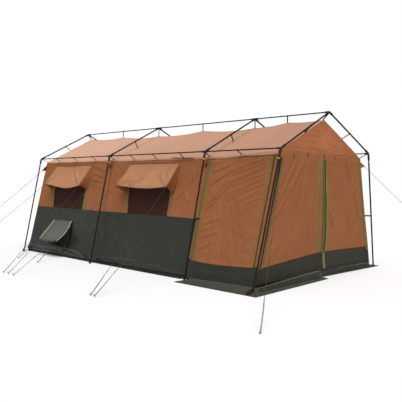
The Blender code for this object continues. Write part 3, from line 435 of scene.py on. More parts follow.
# Painted light: the roof runs paler toward the back and darker toward the porch, a painted sheen of the sky at the
# grazing view.
ROOF = cloth_finish("orange_roof_canvas", (184, 137, 109), (196, 151, 124), sheen=0.25, crease=0.008,
                    crease_scale=2.6, fade=0.7, patches=0.5,
                    painted_light_drift=((164, 115, 84), (174, 127, 97), (1, 0, 0), -2.8, 2.4))
COVER = cloth_finish("orange_awning_canvas", (159, 111, 79), (170, 124, 92), crease=0.006, crease_scale=4.0)
# Painted shade: the awnings' side webs are the orange canvas painted darker, for the shade they stand in.
PAINTED_SHADE_WEB_CANVAS = cloth_finish("orange_web_canvas_painted_shade", (132, 78, 42), (142, 88, 52), crease=0.006)
BAND_CLOTH = cloth_finish("dark_olive_band_cloth", (47, 46, 36), (55, 55, 45), rough=0.6, shine=0.12,
                          crease=0.006, crease_scale=2.6)
DADO_CLOTH = cloth_finish("dark_olive_coated_cloth", (34, 36, 27), (42, 44, 35), rough=0.36, shine=0.4,
                          crease=0.007, crease_scale=2.6, stretch=(0.6, 1.3, 1.0))
GROUND_FLAP = cloth_finish("grey_green_flap_cloth", (56, 58, 51), (68, 70, 62), rough=0.5, shine=0.3,
                           crease=0.014, crease_scale=5.0, dust=0.15, reach=0.08)
# Painted shadow: a darker copy of the ground flap's cloth, for the band of shadow the front wall's foot casts on the
# flap.
PAINTED_SHADOW_FLAP_CLOTH = cloth_finish("flap_cloth_painted_shadow", (43, 44, 36), (53, 54, 46), rough=0.5, shine=0.3, crease=0.012)
VENT_CLOTH = cloth_finish("grey_green_vent_cloth", (84, 88, 81), (95, 98, 91), rough=0.7, crease=0.004)
FLOOR_CLOTH = cloth_finish("black_groundsheet", (20, 20, 19), (32, 32, 30), threads=420.0, rough=0.5,
                           crease=0.006, crease_scale=6.0, dust=0.2, reach=0.05)
OLIVE = tape_finish("olive_strip", (108, 91, 49), (128, 113, 70))
OLIVE_PALE = tape_finish("pale_olive_strip", (110, 104, 66), (132, 128, 90))
GREEN_TAPE = tape_finish("green_strip", (90, 80, 36), (114, 104, 56))
DARK_TAPE = tape_finish("dark_green_strip", (44, 36, 14), (62, 54, 28))
BROWN_TAPE = tape_finish("brown_strip", (62, 38, 16), (84, 58, 30))
SEAM_TAPE = tape_finish("pale_foot_seam", (82, 85, 75), (104, 106, 94))
BINDING = tape_finish("grey_edge_binding", (150, 128, 106), (170, 150, 130))
PALE_BINDING = tape_finish("pale_vent_binding", (150, 152, 112), (176, 178, 140))
HEM = tape_finish("orange_hem", (134, 80, 48), (160, 104, 70))
ZIP_TAPE = tape_finish("dark_zip_tape", (58, 42, 30), (84, 68, 52), pitch=0.004)
ZIP_TEETH = tape_finish("zip_coil", (70, 74, 30), (104, 108, 54), rough=0.45, pitch=0.002, rib=1500.0)
WEBBING = tape_finish("black_webbing", (15, 11, 10), (36, 30, 28))
MAROON = tape_finish("maroon_webbing", (78, 28, 32), (110, 58, 58))
TIE = tape_finish("dark_red_tie", (98, 46, 26), (130, 80, 54))
YELLOW = tape_finish("yellow_band", (214, 168, 84), (228, 196, 126))
# Painted shade: the mesh's holes are dark for the unlit inside of the tent behind the windows.
NET = mesh_finish("window_mesh_painted_shade", (46, 16, 8), (64, 30, 20))
TUBE = hard_finish("bronze_black_tube", (15, 11, 9), (50, 41, 34), rough=0.5, wear=0.25, shine=0.22)
JOINT = hard_finish("black_moulding", (18, 17, 18), (58, 57, 58), rough=0.5, scale=60.0, wear=0.25, shine=0.3)
STEEL = hard_finish("zinc_steel", (120, 120, 122), (176, 174, 170), rough=0.35, metallic=0.9, scale=80.0)
PEG = hard_finish("dull_steel_peg", (118, 116, 112), (150, 146, 140), rough=0.5, metallic=0.3, scale=60.0)
CORD = rope_finish("grey_guy_cord", (62, 48, 38), (46, 35, 27))


# Mesh building

def frames(path, lead=None):
    """Two directions across a path at each of its points, which turn with it as little as they can."""
    ahead = unit(np.gradient(path, axis=0))
    if lead is None:
        lead = np.eye(3)[np.argmin(np.abs(ahead[0]))]
    across = []
    for direction in ahead:
        lead = unit(lead - direction * np.dot(lead, direction))
        across.append(lead)
    across = np.array(across)
    return across, np.cross(ahead, across)


def lengths(path):
    return np.concatenate([[0.0], np.cumsum(np.linalg.norm(np.diff(path, axis=0), axis=1))])


def resample(path, step):
    """The same line with points at most one step apart, its own points kept."""
    path = np.asarray(path, float)
    rows = [path[0]]
    for start, end in zip(path, path[1:]):
        count = max(1, math.ceil(np.linalg.norm(end - start) / step))
        rows += [start + (end - start) * (number + 1) / count for number in range(count)]
    return np.array(rows)


def rounded(corner, before, after, radius, count=7):
    """Points of a smooth bend at a corner, from radius before it to radius after it."""
    start = corner + unit(before - corner) * radius
    end = corner + unit(after - corner) * radius
    share = np.linspace(0.0, 1.0, count)[:, None]
    return (1 - share) ** 2 * start + 2 * share * (1 - share) * corner + share ** 2 * end


class Piece:
    """Gathers the shapes of one piece and makes them into one mesh object."""

    def __init__(self, name, *finishes):
        self.name = name
        self.finishes = finishes
        self.points = []
        self.faces = []
        self.places = []
        self.slots = []
        self.count = 0

    def grid(self, points, place, finish=0, closed=False, keep=None, facing=None):
        """A sheet of four-sided faces. place holds each point's position on the cloth, in metres."""
        points = np.asarray(points, float)
        rows, columns = points.shape[:2]
        index = self.count + np.arange(rows * columns).reshape(rows, columns)
        self.points.append(points.reshape(-1, 3))
        self.count += rows * columns
        if closed:
            index = np.hstack([index, index[:, :1]])
        faces = np.stack([index[:-1, :-1], index[:-1, 1:], index[1:, 1:], index[1:, :-1]], -1)
        places = np.stack([place[:-1, :-1], place[:-1, 1:], place[1:, 1:], place[1:, :-1]], -2)
        if facing is not None:
            normal = np.cross(points[:-1, 1:] - points[:-1, :-1], points[1:, :-1] - points[:-1, :-1])
            if np.dot(normal.reshape(-1, 3).sum(0), facing) < 0:
                faces = faces[..., ::-1]
                places = places[..., ::-1, :]
        cells = faces.shape[:2]
        keep = np.ones(cells, bool) if keep is None else keep
        self.faces += faces[keep].tolist()
        self.places += places[keep].reshape(-1, 2).tolist()
        self.slots += np.broadcast_to(finish, cells)[keep].tolist()

    def cloth(self, surface, a, b, facing, finish=0, out=0.0, keep=None):
        """A sheet over a grid of a surface's own coordinates."""
        self.grid(surface(a, b, out), np.stack([a, b], -1), finish, keep=keep, facing=facing)

    def lid(self, ring, finish=0):
        """One flat face over a ring of points."""
        self.points.append(np.asarray(ring, float))
        self.faces.append([self.count + number for number in range(len(ring))])
        self.places += [[0.0, 0.0]] * len(ring)
        self.slots.append(finish)
        self.count += len(ring)

    def bar(self, points, path, around, finish):
        """A closed bar of rows of points along a path, with a lid at each end."""
        place = np.stack(np.meshgrid(around, lengths(path)), -1)[..., ::-1]
        self.grid(points, place, finish, closed=True)
        self.lid(points[0][::-1], finish)
        self.lid(points[-1], finish)

    def sweep(self, path, radius, finish=0, sides=14):
        """A round bar along a path, whose radius may change."""
        path = np.asarray(path, float)
        radius = np.broadcast_to(np.asarray(radius, float), len(path))
        across, up = frames(path)
        turn = np.linspace(0.0, 2 * math.pi, sides, endpoint=False)
        ring = np.cos(turn)[None, :, None] * across[:, None] + np.sin(turn)[None, :, None] * up[:, None]
        self.bar(path[:, None] + ring * radius[:, None, None], path, np.linspace(0.0, 1.0, sides + 1), finish)

    def ribbon(self, path, lead, width, thick, finish=0):
        """A flat strap along a path. lead is the way across it."""
        path = np.asarray(path, float)
        across, up = frames(path, np.asarray(lead, float))
        width = np.broadcast_to(np.asarray(width, float), len(path))[:, None]
        corners = [(-1, -1), (1, -1), (1, 1), (-1, 1)]
        points = np.stack([path + across * width / 2 * a + up * thick / 2 * b for a, b in corners], 1)
        self.bar(points, path, [0.0, 1.0, 1.0, 0.0, 0.0], finish)

    def sew(self, surface, a, b, out, place, finish):
        """Lays a strip on a surface, raised off it but for its two edges."""
        lifts = np.array([-0.0004] + [out] * (a.shape[1] - 2) + [-0.0004])
        facing = surface(a, b, 0.01).mean((0, 1)) - surface(a, b, 0.0).mean((0, 1))
        self.grid(surface(a, b, lifts[None, :]), place, finish, facing=facing)

    def tape(self, surface, line, width, out=0.0014, finish=0, step=0.02, columns=4):
        """A strip sewn on a surface along a line of its own coordinates."""
        line = resample(line, step)
        ahead = unit(np.gradient(line, axis=0))
        offsets = np.concatenate([[-0.5], np.linspace(-0.5, 0.5, columns), [0.5]]) * width
        a = line[:, :1] - ahead[:, 1:] * offsets
        b = line[:, 1:] + ahead[:, :1] * offsets
        along, share = np.meshgrid(lengths(line), np.clip(offsets / width + 0.5, 0, 1), indexing="ij")
        self.sew(surface, a, b, out, np.stack([along, share], -1), finish)

    def strip(self, surface, left, right, out=0.0016, finish=0, step=0.03):
        """A strip sewn on a surface between two lines of its own coordinates, given point for point."""
        lines = np.array([left, right], float)
        knots = np.arange(len(left))
        share = np.linspace(0, len(left) - 1, max(2, math.ceil(lengths(lines[0])[-1] / step)) + 1)
        ends = [np.stack([np.interp(share, knots, line[:, axis]) for axis in (0, 1)], -1) for line in lines]
        count = max(3, math.ceil(np.abs(lines[1] - lines[0]).max() / 0.010))
        across = np.concatenate([[0.0], np.linspace(0.0, 1.0, count), [1.0]])
        spots = ends[0][:, None] + (ends[1] - ends[0])[:, None] * across[None, :, None]
        a, b = spots[..., 0], spots[..., 1]
        along = np.broadcast_to(lengths(ends[0])[:, None], a.shape)
        place = np.stack([along, np.broadcast_to(across, a.shape)], -1)
        self.sew(surface, a, b, out, place, finish)

    def make(self, body="tent", replaces=(), slot=None, thickness=None, sharp=35):
        points = np.concatenate(self.points)
        used, index = np.unique(np.concatenate([np.array(face) for face in self.faces]), return_inverse=True)
        faces = []
        start = 0
        for face in self.faces:
            faces.append(index[start:start + len(face)].tolist())
            start += len(face)
        mesh = bpy.data.meshes.new(self.name)
        mesh.from_pydata(points[used].tolist(), [], faces)
        for finish in self.finishes:
            mesh.materials.append(finish)
        mesh.polygons.foreach_set("material_index", self.slots)
        layer = mesh.uv_layers.new(name="cloth")
        layer.data.foreach_set("uv", np.array(self.places).ravel())
        mesh.shade_smooth()
        if sharp:
            mesh.set_sharp_from_angle(angle=math.radians(sharp))
        piece = new_object(self.name, mesh)
        if thickness:
            thick = piece.modifiers.new("thickness", "SOLIDIFY")
            thick.thickness = thickness
            thick.offset = -1.0
        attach(piece, body)
        if replaces:
            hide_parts(*replaces)
        return piece


def cloth_sheet(name, surface, a, b, finishes, facing, finish=0, keep=None, **making):
    """One sheet of cloth over a grid of its own coordinates."""
    a, b = np.broadcast_arrays(a, b)
    piece = Piece(name, *finishes)
    piece.cloth(surface, a, b, facing, finish, keep=keep)
    return piece.make(thickness=CANVAS_THICKNESS, sharp=60, **making)


def spread(*stops, step=0.02):
    """Evenly spaced values between stops, with each stop kept."""
    values = [stops[0]]
    for start, end in zip(stops, stops[1:]):
        count = max(1, round(abs(end - start) / step))
        values += [start + (end - start) * (number + 1) / count for number in range(count)]
    return np.array(values)


# Folds in the cloth

def swell(a, b, size, depth, seed):
    """The slow uneven swell of slack cloth."""
    pick = np.random.default_rng(seed)
    total = 0.0
    for _ in range(6):
        angle = pick.uniform(0, math.pi)
        phase = pick.uniform(0, 2 * math.pi)
        scale = size * pick.uniform(0.6, 1.7)
        total = total + np.sin(2 * math.pi * (a * math.cos(angle) + b * math.sin(angle)) / scale + phase)
    return depth * total / 3


def folds_along(lines, a, b):
    """Tension folds, each from a point to a point: strongest near the first, with a valley beside its ridge.

    The two points are in hundredths of a metre or of a cover, and the width and height in thousandths.
    """
    total = 0.0
    for line in lines:
        a0, b0, a1, b1 = [value / 100 for value in line[:4]]
        width, height = [value / 1000 for value in line[4:]]
        da, db = a1 - a0, b1 - b0
        length = math.hypot(da, db)
        share = ((a - a0) * da + (b - b0) * db) / length ** 2
        off = ((a - a0) * db - (b - b0) * da) / length / (width * (0.6 + 0.8 * np.clip(share, 0, 1)))
        fade = smoothstep(share / 0.15 + 0.3) * smoothstep((1 - share) / 0.45)
        total = total + height * fade * (np.exp(-off * off) - 0.5 * np.exp(-(off - 1.4) ** 2))
    return total * 1.7


def inside(value, low, high, margin):
    """One between two limits, easing to zero at each over a margin."""
    return smoothstep((value - low) / margin) * smoothstep((high - value) / margin)


# The body's faces

def wall_half(z):
    return BASE_Y - (BASE_Y - EAVE_Y) * z / EAVE_Z


def front_x(z):
    return ARCH_X[3] - 0.160 + 0.075 * z / EAVE_Z


def gable_back(z):
    """How far the gable's point leans back over the doors."""
    return 0.030 * smoothstep((z - 1.74) / 0.38)


def roof_z(y):
    return PEAK_Z - (PEAK_Z - EAVE_Z) * np.abs(y) / EAVE_Y


def stack(x, y, z):
    return np.stack(np.broadcast_arrays(x, y, z), -1)


def back_lean(z):
    """How far the back end stands forward of a plumb line, more toward its top."""
    return 0.040 * np.clip(z / 1.8, 0, 1) + 0.072 * np.clip((z - 1.8) / 0.57, 0, 1)


def eave_rise(x):
    """How far the near eave is pulled up between its straps."""
    return np.interp(x, [-3.1, -2.95, -0.75, -0.5, 0.8, 1.1, 1.5, 1.8, 2.0, 2.2, 2.4, 3.03],
                     [0.010, 0.022, 0.020, 0.008, 0.009, 0.005, 0.008, 0.003, 0.003, 0.011, 0.026, 0.036])


def base_spread(x, z):
    """How far the near wall's foot is pegged out past its slope."""
    along = smoothstep((x + 2.2) / 3.4) * (1 - smoothstep((x - 1.62) / 0.09))
    return 0.055 * along * np.clip(1 - z / 0.30, 0, 1) ** 2


def corner_lift(x, z):
    """How far the near wall's back corner is held up off the ground."""
    return 0.062 * np.clip(1 - (x - BACK_X) / 0.24, 0, 1) * np.clip(1 - z / 0.3, 0, 1)


def near_shift(x, z):
    """How far the near wall's cloth is drawn sideways: at its back corner, window edges and porch seam."""
    total = back_lean(z) * np.clip(1 - (x - BACK_X) / 0.5, 0, 1) - 0.035 * np.clip(1 - z / 0.25, 0, 1) * np.clip(
        1 - (x - BACK_X) / 0.4, 0, 1)
    band = smoothstep((z - 0.55) / 0.35) * (1 - smoothstep((z - 1.60) / 0.18))
    for centre in WINDOW_X:
        near_edge = np.clip(1 - np.abs(x - centre + WINDOW_HALF) / 0.3, 0, 1)
        total = total + band * near_edge * (0.039 - 0.2 * np.clip(z - 0.906, 0, 0.45))
    seam = smoothstep((x - 1.35) / 0.35) * (1 - smoothstep((x - 1.69) / 0.26))
    return total - 0.085 * (1 - (np.clip(z, 0, 1.8) / 1.8) ** 2) * seam


def wall_face(side, x, z, out):
    half = wall_half(z) + math.cos(WALL_LEAN) * out
    return stack(x, side * half, z + math.sin(WALL_LEAN) * out)


NEAR_FOLDS = [
    # Back bay: from the eave straps and the corner
    (-302, 179, -272, 150, 30, 7), (-305, 160, -285, 112, 35, 6), (-260, 180, -230, 174, 16, 5),
    (-170, 180, -145, 176, 16, 4), (-132, 172, -80, 160, 22, 8), (-127, 159, -80, 150, 20, 11),
    (-127, 147, -82, 142, 20, 11), (-125, 138, -90, 133, 18, 8), (-74, 178, -95, 120, 40, 3),
    (-252, 120, -295, 95, 35, 6),
    # Middle bay
    (-66, 178, -42, 130, 45, 2.5), (-60, 176, -20, 150, 35, 2.5), (-55, 130, -50, 95, 35, 2),
    (162, 174, 130, 120, 45, 6), (125, 130, 145, 108, 30, 7), (160, 130, 135, 98, 35, 4),
    # Lower wall: scuffs and sags
    (140, 80, 122, 30, 20, 6), (120, 80, 145, 55, 22, 5), (29, 30, 15, 20, 30, 6),
    (-60, 85, 30, 55, 60, 2), (-160, 80, -90, 55, 50, 2),
    # Porch panel: sheaves of folds off its upper front corner, and off its back edge
    (290, 178, 205, 158, 24, 10), (290, 171, 230, 158, 18, 5), (289, 167, 198, 140, 26, 10),
    (287, 158, 240, 146, 18, 4), (287, 153, 200, 120, 26, 8), (286, 144, 240, 130, 20, 4),
    (285, 138, 215, 106, 28, 6), (284, 125, 244, 110, 24, 4), (283, 119, 252, 104, 20, 5),
    (184, 103, 234, 156, 20, 9), (183, 110, 228, 160, 16, 8), (180, 138, 232, 170, 20, 9),
    (181, 158, 228, 174, 16, 8), (182, 170, 215, 179, 15, 7), (180, 81, 222, 96, 24, 6),
    (180, 70, 210, 86, 18, 5), (182, 62, 226, 78, 22, 6), (182, 45, 210, 62, 30, 5),
    (280, 80, 245, 40, 40, 6),
]


FOOT_FOLDS = [
    (-84, 2, -133, 15, 14, 17), (-90, 5, -112, 17, 12, 9), (-71, 5, -45, 15, 14, 16),
    (-50, 13, 77, 17, 20, 13), (-72, 3, 23, 9, 12, 14), (10, 9, 120, 15, 14, 9),
    (160, 8, 70, 16, 14, 9), (-305, 13, -206, 15, 18, 12), (-195, 12, -112, 5, 18, 10),
    (-180, 19, -110, 11, 16, 7), (-260, 10, -190, 5, 18, 8), (-95, 10, -160, 21, 14, 5),
    (290, 15, 220, 20, 18, 5), (182, 16, 240, 19, 18, 4), (290, 24, 250, 17, 16, 4),
]


def near_swell(x, z):
    eased = inside(z, 0.085, 1.80, 0.10) * inside(x, BACK_X, 3.02, 0.06)
    arch = np.abs(x - 1.705)
    eased = eased * (0.25 + 0.75 * smoothstep(arch / 0.15))
    slack = swell(x, z * 0.7, 0.75, 0.0045, 4) + swell(x, z, 0.28, 0.0016, 9)
    low = inside(z, 0.03, 0.40, 0.03) * inside(x, BACK_X, 3.0, 0.05)
    return eased * (slack + folds_along(NEAR_FOLDS, x, z) + 0.004) + low * folds_along(FOOT_FOLDS, x, z)


def vent_room(x, z):
    """1 behind the vent's flap, and 0 past its edges."""
    across = smoothstep((x - VENT_X + 0.34) / 0.03) * smoothstep((VENT_X + 0.375 - x) / 0.045)
    return across * smoothstep((VENT_TOP - 0.004 - z) / 0.03) * smoothstep((z - VENT_TOP + VENT_LENGTH + 0.015) / 0.03)


def vent_sag(s, d):
    """How far the vent's flap hollows toward its right side."""
    return 0.045 * s ** 2 * np.sin(math.pi * np.clip(d, 0, 1))


def near_wall(x, z, out=0.0):
    room = vent_room(x, z)
    hollow = vent_sag(np.clip((x - VENT_X) / VENT_WIDTH + 0.5, 0, 1), (VENT_TOP - z) / VENT_LENGTH) + 0.006
    lift = out + near_swell(x, z) * (1 - room) - hollow * room + base_spread(x, z)
    level = z + eave_rise(x) * smoothstep((z - 1.45) / 0.33) + corner_lift(x, z)
    return wall_face(NEAR, x + near_shift(x, z), level, lift)


def far_swell(x, z):
    eased = inside(z, 0.085, 1.80, 0.10) * inside(x, BACK_X, 3.02, 0.06)
    return eased * (swell(x, z * 0.6, 0.7, 0.005, 14) + swell(x, z, 0.25, 0.0016, 19) + 0.004)


def far_wall(x, z, out=0.0):
    lift = out + far_swell(x, z) + 0.045 * smoothstep((x - 1.9) / 1.0) * np.clip(1 - z / 1.0, 0, 1)
    return wall_face(FAR, x + back_lean(z) * np.clip(1 - (x - BACK_X) / 0.5, 0, 1), z, lift)


LONG_WALLS = {NEAR: near_wall, FAR: far_wall}

FRONT_FOLDS = [
    (-51, 177, -95, 121, 26, 15), (-93, 124, -129, 86, 26, 11), (-70, 177, -108, 120, 24, 12),
    (-106, 122, -119, 103, 22, 8), (-60, 172, -88, 136, 18, 6), (-41, 180, -58, 95, 36, 9),
    (-32, 178, -22, 122, 28, 8), (-30, 86, -31, 40, 30, 11), (-10, 178, -20, 60, 35, 6),
    (19, 180, 17, 110, 26, 8), (16, 170, 28, 112, 28, 7), (17, 102, 42, 54, 30, 12),
    (31, 179, 42, 85, 40, 8), (62, 182, 86, 128, 28, 15), (85, 130, 127, 63, 30, 13),
    (72, 102, 91, 42, 32, 11), (95, 170, 98, 80, 35, 6), (-10, 220, -34, 223, 16, 5),
    (-4, 213, -48, 217, 18, 8), (-5, 204, -46, 208, 18, 8), (-2, 193, -43, 199, 20, 9),
    (-10, 184, -38, 189, 18, 6), (-20, 177, -40, 180, 16, 4), (-24, 170, -40, 173, 18, 4),
    (-40, 187, -98, 190, 22, 5), (12, 205, 46, 196, 22, 5), (30, 186, 80, 188, 20, 5),
    (-110, 60, -130, 34, 50, 6), (-60, 34, -70, 75, 60, 7), (60, 40, 66, 95, 60, 7),
    (100, 40, 115, 85, 50, 6),
]


def front_wall(y, z, out=0.0):
    y, z = np.broadcast_arrays(y, z)
    eased = inside(z, 0.07, 9.0, 0.12) * smoothstep((roof_z(y) - z) / 0.10)
    eased = eased * smoothstep((wall_half(np.minimum(z, EAVE_Z)) - np.abs(y)) / 0.06)
    slack = swell(y, z * 0.45, 0.50, 0.0065, 6) + swell(y, z * 0.6, 0.2, 0.0016, 11)
    belly = 0.030 * np.cos(np.clip(y / 1.5, -1, 1) * math.pi / 2) * inside(z, 0.03, 1.80, 0.7)
    lift = out + eased * (slack + folds_along(FRONT_FOLDS, y, z) + belly)
    wide = 0.045 * np.clip((y - 0.7) / 0.8, 0, 1) * np.clip(1 - z / 1.0, 0, 1)
    return stack(front_x(z) - gable_back(z) + math.cos(FRONT_LEAN) * lift, y + wide, z - math.sin(FRONT_LEAN) * lift)


RAIL_SHARES = ((0.24, 0.5, 0.765), (0.245, 0.49, 0.762), (0.452,))
RIDGE_SHARES = (0.53, 0.5, 0.465)
STRAP_STOPS = (BACK_X, -1.84, ARCH_X[1], 0.5, ARCH_X[2], 2.36, 3.06)
EAVE_STOPS = (BACK_X, *(ARCH_X[bay] + (ARCH_X[bay + 1] - ARCH_X[bay]) * share for bay, shares in enumerate(RAIL_SHARES)
                        for share in (*shares, 1.0)))


def ridge_drop(x):
    """How far the ridge hangs below its full height along the tent."""
    return np.interp(x, STRAP_STOPS, [0.0, 0.020, 0.055, 0.020, 0.045, 0.0, 0.0])


def verge_rise(x, share, y):
    """How far the porch end of the roof bulges above its straight slope."""
    near = np.interp(share, [0.0, 0.25, 0.5, 0.74, 0.95, 1.0], [0.0, 0.016, 0.030, 0.037, 0.036, 0.0])
    return np.where(y < 0, near, 0.018 * np.sin(math.pi * share)) * smoothstep((x - 2.3) / 0.65)


def dips(x, stops, depth):
    """How far an edge hangs below the straps that hold it, in a shallow curve between each two."""
    x = np.asarray(x, float)
    total = np.zeros_like(x)
    for start, end in zip(stops, stops[1:]):
        share = np.clip((x - start) / (end - start), 0, 1)
        within = (x >= start) & (x <= end)
        total = np.where(within, depth * (end - start) * 4 * share * (1 - share), total)
    return total


ROOF_FOLDS = [
    (-283, -21, -305, -84, 30, 6), (-283, -25, -208, -105, 40, 7), (-167, -10, -195, -30, 25, 7),
    (-34, -48, -150, -28, 40, 7), (-90, -86, -250, -40, 50, 7), (19, -33, -10, -46, 30, 6),
    (129, -84, 105, -103, 20, 7), (172, -62, 205, -40, 30, 5), (217, -102, 245, -89, 18, 6),
    (220, -90, 272, -83, 18, 6), (235, -86, 266, -66, 20, 6), (120, -103, 166, -100, 16, 5),
    (295, -55, 255, -45, 30, 5), (-283, 30, -220, 95, 40, 7), (-60, 30, 20, 90, 45, 7),
    (160, 40, 80, 85, 40, 6),
]


def roof_face(x, y, out=0.0):
    x, y = np.broadcast_arrays(x, y)
    share = np.clip(np.abs(y) / EAVE_Y, 0, 1)
    bay_start = np.select([x < ARCH_X[1], x < ARCH_X[2]], [ARCH_X[0], ARCH_X[1]], ARCH_X[2])
    bay_end = np.select([x < ARCH_X[1], x < ARCH_X[2]], [ARCH_X[1], ARCH_X[2]], ARCH_X[3])
    through = np.clip((x - bay_start) / (bay_end - bay_start), 0, 1)
    sag = 0.026 * np.sin(math.pi * np.clip(share, 0, 1)) * np.sin(math.pi * through) ** 2
    ridge = dips(x, STRAP_STOPS, 0.025) * np.clip(1 - share, 0, 1) ** 1.6
    eave = dips(x, EAVE_STOPS, 0.010) * np.clip(share, 0, 1) ** 4
    eased = inside(x, BACK_X, 3.03, 0.12) * inside(share, 0.02, 0.99, 0.10)
    slack = swell(x * 0.7, y, 0.6, 0.004, 2) + folds_along(ROOF_FOLDS, x, y)
    lift = out + eased * slack
    drop = ridge_drop(x) * np.clip(1 - share, 0, 1)
    rise = verge_rise(x, share, y) + np.where(y < 0, eave_rise(x), 0.0) * share ** 3
    fall = sag + ridge + eave + drop - rise
    tilt = np.where(y < 0, -1.0, 1.0) * smoothstep(share / 0.03)
    return stack(x, y + math.sin(PITCH) * tilt * lift, roof_z(y) - fall + math.cos(PITCH) * lift)


# Guy lines and their pegs, on the same points as the part's solids

PEGS = {
    "near_1": (-3.380, -3.180),
    "near_2": (-0.666, -3.161),
    "near_3": (1.723, -3.199),
    "near_4": (4.289, -3.068),
    "far_4": (3.990, 3.070),
    "awning_back_left": (-2.760, -3.180),
    "awning_back_right": (-0.827, -3.161),
    "awning_middle_left": (-0.472, -3.174),
    "awning_middle_right": (1.630, -3.196),
    "vent_left": (-2.167, -2.212),
    "vent_right": (-1.400, -2.246),
}
TAB_STARTS = {
    "near_1": (-3.072, -1.187, 1.652),
    "near_2": (-0.746, -1.167, 1.702),
    "near_3": (1.679, -1.167, 1.678),
    "near_4": (3.091, -1.147, 1.675),
    "far_4": (3.041, 1.192, 1.690),
}
COVERS = {
    "awning_back": (AWNING_X[0], AWNING_WIDTH, AWNING_TOP, AWNING_LENGTH, AWNING_OPEN),
    "awning_middle": (AWNING_X[1], AWNING_WIDTH, AWNING_TOP, AWNING_LENGTH, AWNING_OPEN),
    "vent": (VENT_X, VENT_WIDTH, VENT_TOP, VENT_LENGTH, VENT_OPEN),
}
GUY_R = 0.003
LINE_END_HEIGHT = 0.012


def cover_frame(side, top, opening):
    """A cover's hinge point on its wall, the way down along the cover, and the way out of its face."""
    lean = WALL_LEAN + opening
    down = array(0.0, side * math.sin(lean), -math.cos(lean))
    out = array(0.0, side * math.cos(lean), math.sin(lean))
    return wall_face(side, 0.0, top, 0.0043), down, out


def guy_starts():
    starts = {name: array(*point) for name, point in TAB_STARTS.items()}
    for cover, (centre, width, top, length, opening) in COVERS.items():
        hinge, down, out = cover_frame(NEAR, top, opening)
        for end, end_name in ((-1, "left"), (1, "right")):
            name = f"{cover}_{end_name}"
            corner = hinge + array(centre + end * (width / 2 - 0.003), 0, 0) + down * length - out * 0.002
            pull = unit(array(*PEGS[name], LINE_END_HEIGHT) - corner)
            facing = np.dot(pull, down)
            starts[name] = corner + pull * (0.0003 + GUY_R * math.sqrt(max(0.0, 1 - facing ** 2))) / facing
    return starts


def guy_path(start, end, count=24):
    """A taut line with the little droop of its own weight."""
    share = np.linspace(0.0, 1.0, count)[:, None]
    droop = 0.004 * np.linalg.norm(end - start) * 4 * share * (1 - share)
    return start + (end - start) * share - droop * array(0, 0, 1)


def make_peg(name, end, outward, path):
    """A bent steel pin, with the loop of line that goes round it and back up to its knot."""
    peg = Piece(f"peg_{name}", PEG, CORD)
    foot = array(end[0], end[1], 0.0)
    top = foot + array(0, 0, 0.0284)
    shaft = np.concatenate([[foot], rounded(top, foot, top + outward, 0.007), [top + outward * 0.015]])
    peg.sweep(shaft, 0.0038, 0, 12)
    turn = np.linspace(0.0, 2 * math.pi, 17)
    ahead = np.cross(array(0, 0, 1), outward)
    loop = [foot + array(0, 0, LINE_END_HEIGHT) + 0.0068 * (math.cos(t) * outward + math.sin(t) * ahead) for t in turn]
    peg.sweep(loop, 0.0026, 1, 10)
    last = path[-1]
    climb = unit(path[0] - last)
    beside = unit(np.cross(climb, array(0, 0, 1))) * 0.010
    knot = last + climb * 0.42
    back = [last + beside * 0.7, last + climb * 0.10 + beside, last + climb * 0.32 + beside * 0.9, knot + beside * 0.2]
    peg.sweep(back, 0.0026, 1, 8)
    peg.sweep([knot - climb * 0.008, knot - climb * 0.004, knot + climb * 0.006, knot + climb * 0.010],
              [0.0032, 0.0058, 0.0058, 0.0032], 1, 10)
    return peg.make(slot="guy_cord")


def make_guy_lines():
    for name, start in guy_starts().items():
        end = array(*PEGS[name], LINE_END_HEIGHT)
        path = guy_path(start, end)
        data = bpy.data.curves.new(f"line_{name}", "CURVE")
        data.dimensions = "3D"
        data.bevel_depth = GUY_R
        data.bevel_resolution = 2
        data.use_fill_caps = True
        spline = data.splines.new("POLY")
        spline.points.add(len(path) - 1)
        spline.points.foreach_set("co", np.hstack([path, np.ones((len(path), 1))]).ravel())
        data.materials.append(CORD)
        line = new_object(f"line_{name}", data)
        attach(line, "tent")
        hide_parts(f"guy_line_{name}")
        outward = unit(array(end[0] - start[0], end[1] - start[1], 0.0))
        pieces = [make_peg(name, end, outward, path)]
        float(lengths(path)[-1])


make_guy_lines()


# Frame

def eave(arch, side):
    return array(ARCH_X[arch], side * EAVE_HALF, EAVE_HEIGHT)


def ridge(arch):
    return array(ARCH_X[arch], 0.0, RIDGE_HEIGHT)


def foot(arch, side):
    return array(ARCH_X[arch] + FOOT_LEAN[arch], side * FOOT_HALF, 0.0)


def tube(piece, start, end, radius, swages=(0.5,)):
    """A pole: plain tube with a swaged joint where two lengths plug together."""
    length = np.linalg.norm(end - start)
    stops = [(0.0, 0.0)]
    for share in swages:
        at = share * length
        stops += [(at - 0.020, 0.0), (at - 0.016, 0.0009), (at - 0.001, 0.0009), (at, -0.0008), (at + 0.001, 0.0)]
    stops += [(length, 0.0)]
    ahead = unit(end - start)
    path = [start + ahead * at for at, _ in stops]
    piece.sweep(path, [radius + lift for _, lift in stops], 0)


def button(piece, at, out, radius):
    """A spring button that stands through the wall of a tube."""
    base = at + out * (radius - 0.001)
    piece.sweep([base, base + out * 0.0022, base + out * 0.0032], [0.0032, 0.0030, 0.0014], 1, 10)


def moulded_arm(piece, path, radius):
    """A moulded socket with a thick lip at both ends and a few ribs."""
    path = resample(path, 0.004)
    along = lengths(path)
    edge = np.minimum(along, along[-1] - along)
    lip = np.where(edge < 0.009, 0.0020, 0.0)
    rib = np.where((edge > 0.015) & (edge < 0.019), 0.0012, 0.0)
    piece.sweep(path, radius + lip + rib, 1, 18)


def rail_ways(arch):
    return [way for way, there in ((-1, arch > 0), (1, arch < 3)) if there]


